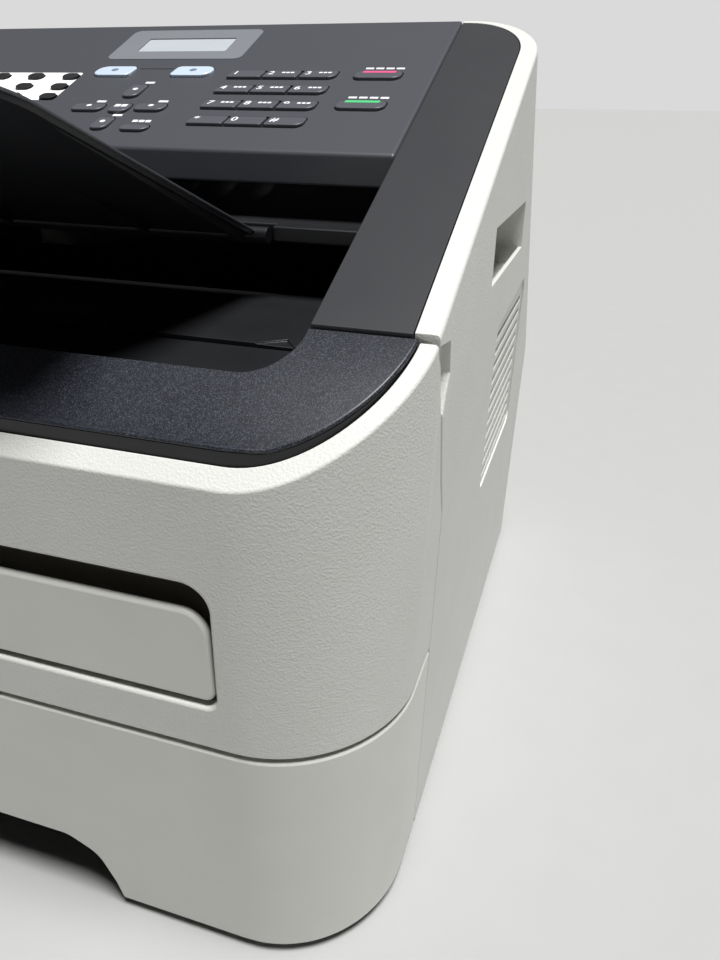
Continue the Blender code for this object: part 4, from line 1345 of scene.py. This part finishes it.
@dataclass
class ControlPanel:
    """Sloping panel with its display, its keys and their marks."""

    form: BodyForm
    front: float = -50.9
    skirt: float = 11.5
    skin: float = 3.0
    rise: float = 1.25
    columns: tuple[float, ...] = (63.9, 80.5, 97.3)
    rows: tuple[float, ...] = (63.6, 49.6, 35.8, 22.0)
    key_size: Point = (15.6, 8.0)
    key_gap: float = 0.45
    key_fall: float = 0.75
    hole_depth: float = 8.0
    touch_columns: tuple[float, ...] = (-23.0, -42.0, -61.0, -80.0)
    touch_rows: tuple[float, ...] = (61.0, 50.6, 40.8)
    touch_size: Point = (8.0, 5.2)
    lcd: tuple[float, ...] = (20.2, 95.8, 48.6, 16.8)

    def local(self) -> Matrix:
        """Frame of the panel: X across, Y up the slope and Z out of it."""
        place = Matrix.Translation((0.0, self.front, self.form.slope_z(self.front)))
        return place @ Matrix.Rotation(self.form.slope, 4, "X")

    def on_panel(self, thing: bpy.types.Object) -> bpy.types.Object:
        """Move a piece from the panel's frame to the body's."""
        thing.data.transform(self.local())
        return thing

    def keys(self) -> list[Key]:
        """Every separate key.

        Returns:
            The keys, the number keys first.
        """
        made = []
        cells = [(x, s) for s in self.rows for x in self.columns]
        for mark, (x, s) in zip(DIGIT_MARKS, cells):
            corner = Corner.RIGHT_END if x == self.columns[-1] else Corner.SQUARE
            made.append(Key(f"number_key_{mark}", x, s, *self.key_size, corner, mark))
        return made + [
            Key("stop_key", 123.0, 63.2, 20.0, 8.0, Corner.LOZENGE, "bar"),
            Key("start_key", 123.4, 36.6, 20.0, 8.0, Corner.LOZENGE, "bar"),
            Key("mode_key_left", -2.8, 66.6, 19.0, 11.0, Corner.LEFT_END, "icon"),
            Key("mode_key_right", 37.0, 66.6, 19.0, 11.0, Corner.RIGHT_ROUND, "icon"),
            Key("up_key", 17.8, 47.0, 7.5, 13.0, Corner.UPRIGHT, "dot"),
            Key("down_key", 17.8, 17.6, 7.5, 11.0, Corner.UPRIGHT, "dot"),
            Key("left_key", 3.4, 31.4, 15.0, 7.5, Corner.LOZENGE, "dot"),
            Key("right_key", 33.0, 32.2, 14.0, 7.5, Corner.LOZENGE, "dot"),
            Key("ok_key", 19.0, 31.2, 9.0, 9.0, Corner.LOZENGE, "pair"),
            Key("menu_key", 34.6, 14.6, 12.5, 6.0, Corner.LOZENGE, ""),
        ]

    def build(self) -> None:
        """Make the panel, its display, its keys and its print."""
        self.panel()
        self.display()
        for key in self.keys():
            self.key_cap(key)
        self.one_touch()
        self.legends()

    def panel(self) -> None:
        """Hollow panel with a hole for each key and a recess for the label."""
        form = self.form
        rear = form.peak[0] - 0.2
        half = form.arm_inner_x - 0.45
        outer = [(self.front, form.slope_z(self.front) - self.skirt), (rear, form.slope_z(rear) - self.skirt),
                 (rear, form.slope_z(rear)), (self.front, form.slope_z(self.front))]
        panel = prism("panel_shell", outer, (-half, half))
        inner = form.strip(self.front + 3.0, rear - 3.0, self.skin, self.skirt + 20.0)
        cut(panel, prism("panel_inside", inner, (-half + 3.0, half - 3.0)))
        soften(panel, 1.3, 4)
        width, length = self.key_size
        middle = (self.columns[0] + self.columns[-1]) / 2
        span = self.columns[-1] - self.columns[0] + width
        rows = [Key("row", middle, s, span, length, Corner.RIGHT_END) for s in self.rows]
        touch_x = (self.touch_columns[-1] - 11.0, self.touch_columns[0] + 4.2)
        x, s, width, length = self.lcd
        pocket = rectangle((x - width / 2 - 0.3, x + width / 2 + 0.3), (s - length / 2 - 0.3, s + length / 2 + 0.3))
        recesses = [(key.outline(self.key_gap), self.hole_depth) for key in (*rows, *self.keys()[len(DIGIT_MARKS):])]
        recesses.append((rounded_box(touch_x, (38.0, 66.0), 1.5), 0.35))
        recesses += [(key.outline(self.key_gap), self.hole_depth) for key in self.touch_keys()]
        recesses += [(pocket, 1.9), (rectangle((8.6, 25.6), (69.6, 70.2)), 0.4)]
        for outline, depth in recesses:
            cut(panel, self.on_panel(prism("panel_recess", outline, (-depth, 5.0), Across.Z)))
        form.place(panel, GREY_SATIN, "control_panel", "grey_plastic", ["control_panel"])
        card = rounded_box((touch_x[0] + 0.2, touch_x[1] - 0.2), (38.2, 65.8), 1.4)
        sheet = prism("one_touch_card", card, (-0.3, -0.05), Across.Z)
        for key in self.touch_keys():
            cut(sheet, prism("card_hole", key.outline(0.5), (-self.hole_depth, 5.0), Across.Z))
        form.place(self.on_panel(sheet), CARD_WHITE, "control_panel", "grey_plastic")

    def display(self) -> None:
        """Grey frame printed round the display, and the display's glass."""
        surround = prism("display_surround", rounded_box((-15.4, 54.0), (80.0, 113.0), 4.0), (-0.2, 0.25), Across.Z)
        x, s, width, length = self.lcd
        opening = rounded_box((x - width / 2 + 1.2, x + width / 2 - 1.2),
                              (s - length / 2 + 1.0, s + length / 2 - 1.0), 1.0, 4)
        cut(surround, prism("opening", opening, (-5.0, 5.0), Across.Z))
        soften(surround, 0.12, 2)
        self.form.place(self.on_panel(surround), LCD_SURROUND, "control_panel", "grey_plastic")
        glass = prism("display_glass", rectangle((x - width / 2, x + width / 2), (s - length / 2, s + length / 2)),
                      (-1.5, -0.25), Across.Z)
        soften(glass, 0.2, 2)
        self.form.place(self.on_panel(glass), LCD_GLASS, "control_panel", "lcd", ["lcd_window"])

    def key_cap(self, key: Key) -> None:
        """Key that stands proud at its lower edge and meets the panel at its upper one.

        Args:
            key: Key to make.
        """
        cap = prism(f"{key.name}_cap", key.outline(), (-3.6, self.rise), Across.Z)
        soften(cap, 0.5, 4)
        low = key.s - key.length / 2
        for vertex in cap.data.vertices:
            if vertex.co.z > -1.0:
                vertex.co.z -= self.rise * self.key_fall * (vertex.co.y - low) / key.length
        finish, slot = KEY_GREY, "black_plastic"
        # The mode keys' pale blue holds the painted glow of the lamp under them.
        if key.mark == "icon":
            finish, slot = KEY_BLUE, "blue_key"
        self.form.place(self.on_panel(cap), finish, key.name, slot, [key.name])

    def touch_keys(self) -> list[Key]:
        """The one-touch keys."""
        return [Key(f"touch_{column}_{row}", x, s, *self.touch_size, Corner.OVAL)
                for column, x in enumerate(self.touch_columns) for row, s in enumerate(self.touch_rows)]

    def one_touch(self) -> None:
        """Rubber mat that carries all the one-touch keys."""
        width = self.touch_columns[0] - self.touch_columns[-1] + 16.0
        middle = (self.touch_columns[0] + self.touch_columns[-1]) / 2
        span = (self.touch_rows[-1] - 4.5, self.touch_rows[0] + 4.5)
        outline = rounded_box((middle - width / 2, middle + width / 2), span, 3.0)
        mat = prism("one_touch_mat", outline, (-5.9, -4.4), Across.Z)
        for key in self.touch_keys():
            join(mat, prism("touch", key.outline(), (-5.0, 0.8), Across.Z))
        soften(mat, 0.5, 3)
        self.form.place(self.on_panel(mat), KEY_BLACK, "one_touch_keys", "black_plastic", ["one_touch_keys"])

    def lift(self, key: Key, s: float) -> float:
        """Height of a key's sloping top at s."""
        low = key.s - key.length / 2
        return self.rise * (1.0 - self.key_fall * (s - low) / key.length)

    def printed(self, name: str, outline: Sequence[Point], key: Key | None, finish: Finish,
                slot: str = "white_plastic") -> None:
        """Thin print on the panel or on a key's sloping top.

        Args:
            name: Name of the piece.
            outline: Shape in the panel's frame.
            key: Key that carries it, or None for the panel.
            finish: Its material.
            slot: Slot of the record.
        """
        ink = prism(name, outline, (-0.1, 0.07), Across.Z)
        self.lay(ink, key)
        self.form.place(self.on_panel(ink), finish, key.name if key else "control_panel", slot)

    def lay(self, ink: bpy.types.Object, key: Key | None) -> None:
        """Lift print onto its key's top.

        Args:
            ink: Print in the panel's frame.
            key: Key that carries it, or None for the panel.
        """
        if key is not None:
            for vertex in ink.data.vertices:
                vertex.co.z += self.lift(key, vertex.co.y)

    def digit(self, key: Key, text: str, x: float, s: float, size: float) -> None:
        """Raised digit printed on a key.

        Args:
            key: Key that carries it.
            text: One generic character.
            x: Left end of the character.
            s: Its foot.
            size: Height of the type.
        """
        curve = bpy.data.curves.new("digit", "FONT")
        curve.body, curve.size, curve.extrude, curve.offset = text, size, 0.08, 0.06
        shape = bpy.data.objects.new("digit", curve)
        bpy.context.scene.collection.objects.link(shape)
        shape.matrix_world = Matrix.Translation((x, s, 0.0))
        bpy.context.view_layer.update()
        mesh = bpy.data.meshes.new_from_object(shape.evaluated_get(bpy.context.evaluated_depsgraph_get()))
        mesh.transform(shape.matrix_world)
        bpy.data.objects.remove(shape, do_unlink=True)
        ink = link(f"{key.name}_digit", mesh)
        self.lay(ink, key)
        self.form.place(self.on_panel(ink), PRINT_WHITE, key.name, "white_plastic")

    def dashes(self, label: str, key: Key, on_key: bool, row: tuple[float, float, float, float, float],
               count: int) -> None:
        """Row of short bars that stands for a key's lettering.

        Args:
            label: What the bars' names start with, after the key's name.
            key: Key that they belong to.
            on_key: Whether they are printed on the key, or on the panel beside it.
            row: First bar's left end, pitch, width, foot and head, from the key's middle.
            count: Number of bars.
        """
        left, pitch, width, foot, head = row
        for step in range(count):
            x = key.x + left + pitch * step
            dash = rectangle((x, x + width), (key.s + foot, key.s + head))
            self.printed(f"{key.name}_{label}_{step}", dash, key if on_key else None, PRINT_WHITE)

    def legends(self) -> None:
        """Digits, bars and small generic marks."""
        signs = {"star": "*", "hash": "#"}
        for key in self.keys():
            left = -key.width / 2
            if key.mark in DIGIT_MARKS:
                self.digit(key, signs.get(key.mark, key.mark), key.x + left + 1.6, key.s - 1.2, 5.6)
                if key.mark not in ("1", "star", "0", "hash"):
                    self.dashes("dash", key, True, (left + 7.6, 2.0, 1.5, 0.4, 1.9), 3)
            elif key.mark == "bar":
                finish, slot = (BAR_ROSE, "red_key") if key.name == "stop_key" else (BAR_GREEN, "green_key")
                bar = rounded_box((key.x - 7.2, key.x + 7.2), (key.s + 1.6, key.s + 4.0), 0.8, 5)
                self.printed(f"{key.name}_bar", bar, key, finish, slot)
                self.dashes("label", key, False, (-7.0, 4.4, 3.4, 6.4, 7.8), 4)
            elif key.mark == "icon":
                icon = arc((key.x, key.s + 0.5), 1.7, 0.0, 345.0, 23)
                self.printed(f"{key.name}_icon", icon, key, PRINT_BLUE)
            elif key.mark == "dot":
                dot = arc((key.x, key.s + 1.0), 1.2, 0.0, 340.0, 17)
                self.printed(f"{key.name}_dot", dot, key, PRINT_WHITE)
                above = key.s + key.length / 2
                dash = rectangle((key.x + 1.0, key.x + 5.4), (above + 1.4, above + 3.0))
                self.printed(f"{key.name}_label", dash, None, PRINT_WHITE)
            elif key.mark == "pair":
                self.dashes("mark", key, True, (-3.0, 3.2, 2.6, 0.2, 2.8), 2)
            else:
                self.dashes("label", key, False, (-4.0, 3.0, 2.4, 5.2, 7.0), 3)


# ---------------------------------------------------------------- engine

@dataclass
class Roller:
    """A roller on its steel shaft, with collars at its ends."""

    node: str
    centre: Point
    radius: float
    half: float
    finish: Finish
    slot: str
    bands: int = 1

    def build(self, form: BodyForm) -> None:
        """Make the sleeve and the shaft.

        Args:
            form: Form that places the pieces.
        """
        shaft_radius = max(2.5, self.radius * 0.3)
        share = 2 * self.half / self.bands
        for index in range(self.bands):
            left = -self.half + share * index
            inset = 0.0 if self.bands == 1 else share * 0.22
            sleeve = rod(f"{self.node}_sleeve_{index}", self.radius, (left + inset + 1.0, left + share - inset - 1.0),
                         self.centre, 64)
            soften(sleeve, 0.6, 3)
            names = [self.node] if index == 0 else []
            form.place(sleeve, self.finish, self.node, self.slot, names)
        shaft = rod(f"{self.node}_shaft", shaft_radius, (-self.half + 0.2, self.half - 0.2), self.centre, 40)
        for span in ((0.1 - self.half, 0.9 - self.half), (self.half - 0.9, self.half - 0.1)):
            join(shaft, rod("collar", shaft_radius * 1.5, span, self.centre, 40))
        key_flat = (self.centre[0] - shaft_radius, self.centre[0] + shaft_radius)
        cut(shaft, block("flat", (self.half - 0.8, self.half + 1.0), key_flat,
                         (self.centre[1] + shaft_radius * 0.6, self.centre[1] + shaft_radius * 2.0)))
        soften(shaft, 0.3, 2)
        form.place(shaft, ZINC_STEEL, self.node, "steel")


@dataclass
class Engine:
    """Rollers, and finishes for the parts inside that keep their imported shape."""

    form: BodyForm
    kept: dict[str, Finish] = field(default_factory=lambda: {
        "main_frame": ZINC_STEEL, "paper_tray": INNER_BLACK, "lift_plate": ZINC_STEEL,
        "paper_guide_left": INNER_BLACK, "paper_guide_right": INNER_BLACK, "image_sensor": INNER_BLACK,
        "laser_unit": INNER_BLACK, "toner_cartridge": INNER_BLACK, "main_board": BOARD_GREEN,
        "power_supply": ZINC_STEEL, "power_inlet": INNER_BLACK, "main_motor": ZINC_STEEL,
        "drive_gear": INNER_BLACK})

    def build(self) -> None:
        """Make the rollers and dress the kept nodes."""
        for roller in self.rollers():
            roller.build(self.form)
        for name, finish in self.kept.items():
            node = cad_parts[name]
            node.data.materials.clear()
            node.data.materials.append(finish.material())
            LOG.info("%s keeps its packed shape, in %s", name, finish.name)

    def rollers(self) -> list[Roller]:
        """Every roller with its place in the body."""
        return [
            Roller("document_feed_roller", (28.0, 277.0), 8.0, 40.0, ROLLER_RUBBER, "rubber", 2),
            Roller("pickup_roller", (-88.0, 80.0), 10.0, 20.0, ROLLER_RUBBER, "rubber"),
            Roller("exit_roller", (62.0, 212.0), 6.0, 110.0, ROLLER_RUBBER, "rubber", 4),
            Roller("drum", (22.0, 118.0), 12.0, 120.0, DRUM_COAT, "drum_coating"),
            Roller("fuser_heat_roller", (112.0, 148.0), 12.0, 115.0, ZINC_STEEL, "steel"),
            Roller("fuser_pressure_roller", (112.0, 123.4), 12.0, 115.0, ROLLER_RUBBER, "rubber"),
        ]


# ---------------------------------------------------------------- studio

@dataclass
class Studio:
    """Pale floor, soft lights and the camera."""

    eye: tuple[float, float, float] = (0.2216, -0.3217, 0.2730)
    yaw: float = math.radians(17.35)
    pitch: float = math.radians(26.81)
    roll: float = math.radians(-0.74)
    lens: float = 28.05
    horizon: float = 0.70
    ambient: float = 0.03
    fade_span: Point = (0.11, 0.3)
    side_span: Point = (-0.5, 0.1)
    light_way: tuple[float, float, float] = (0.16, -0.09, 0.98)
    light_width: float = 22.0
    light_power: float = 5.4

    def build(self) -> None:
        """Make the floor, the lights and the camera."""
        self.floor()
        self.lights()
        self.camera()

    def floor(self) -> None:
        """Wide flat floor, in a dull pale paint."""
        ground = bmesh.new()
        bmesh.ops.create_grid(ground, x_segments=8, y_segments=8, size=60.0)
        mesh = bpy.data.meshes.new("studio_floor")
        ground.to_mesh(mesh)
        ground.free()
        floor = link("studio_floor", mesh)
        floor.data.materials.append(FLOOR_PAINT.material())

    def lights(self) -> None:
        """Broad overhead light a little to the right, in a dim surround with a bright horizon behind."""
        world = bpy.data.worlds.new("studio")
        bpy.context.scene.world = world
        world.use_nodes = True
        tree = world.node_tree
        way = tree.nodes.new("ShaderNodeTexCoord").outputs["Generated"]
        parts = add_node(tree, "ShaderNodeSeparateXYZ", {}, {"Vector": way})
        spans = (("Z", self.fade_span, (self.horizon, self.ambient)), ("Y", self.side_span, (self.ambient, 1.0)))
        fade, side = [add_node(tree, "ShaderNodeMapRange",
                               {"From Min": low, "From Max": high, "To Min": first, "To Max": last},
                               {"Value": parts.outputs[axis]}).outputs["Result"]
                      for axis, (low, high), (first, last) in spans]
        both = add_node(tree, "ShaderNodeMath", {}, {0: fade, 1: side}, operation="MULTIPLY")
        # The surround looks evenly pale from every side; only its light on the object fades.
        seen = tree.nodes.new("ShaderNodeLightPath").outputs["Is Camera Ray"]
        level = add_node(tree, "ShaderNodeMix", {"B": self.horizon}, {"Factor": seen, "A": both.outputs["Value"]})
        background = tree.nodes["Background"]
        tree.links.new(level.outputs["Result"], background.inputs["Strength"])
        background.inputs["Color"].default_value = (1.0, 1.0, 1.0, 1.0)
        data = bpy.data.lights.new("overhead_light", "SUN")
        data.angle = math.radians(self.light_width)
        data.energy = self.light_power
        lamp = bpy.data.objects.new("overhead_light", data)
        bpy.context.scene.collection.objects.link(lamp)
        lamp.rotation_euler = (-Vector(self.light_way)).to_track_quat("-Z", "Y").to_euler()

    def camera(self) -> None:
        """Camera near the right front corner, looking down."""
        forward = Vector((-math.sin(self.yaw) * math.cos(self.pitch), math.cos(self.yaw) * math.cos(self.pitch),
                          -math.sin(self.pitch)))
        level = Vector((math.cos(self.yaw), math.sin(self.yaw), 0.0))
        down = forward.cross(level)
        right = math.cos(self.roll) * level + math.sin(self.roll) * down
        lower = -math.sin(self.roll) * level + math.cos(self.roll) * down
        data = bpy.data.cameras.new("camera")
        data.sensor_width = 36.0
        data.lens = self.lens
        data.clip_start = 0.01
        eye = bpy.data.objects.new("camera", data)
        bpy.context.scene.collection.objects.link(eye)
        turn = Matrix((right, -lower, -forward)).transposed()
        eye.matrix_world = Matrix.Translation(self.eye) @ turn.to_4x4()
        bpy.context.scene.camera = eye


def main() -> None:
    """Build every sub-assembly in order."""
    logging.basicConfig(level=logging.INFO, format="%(message)s")
    bpy.context.scene.view_settings.view_transform = "Standard"
    Studio().build()
    form = BodyForm()
    LOG.info("body is %.1f mm wide, %.1f mm deep, %.1f mm shifted", 2 * form.half_width, 2 * form.rear_y, form.shift_y)
    Casing(form).build()
    PaperPath(form).build()
    ControlPanel(form).build()
    Engine(form).build()


if __name__ == "__main__":
    main()
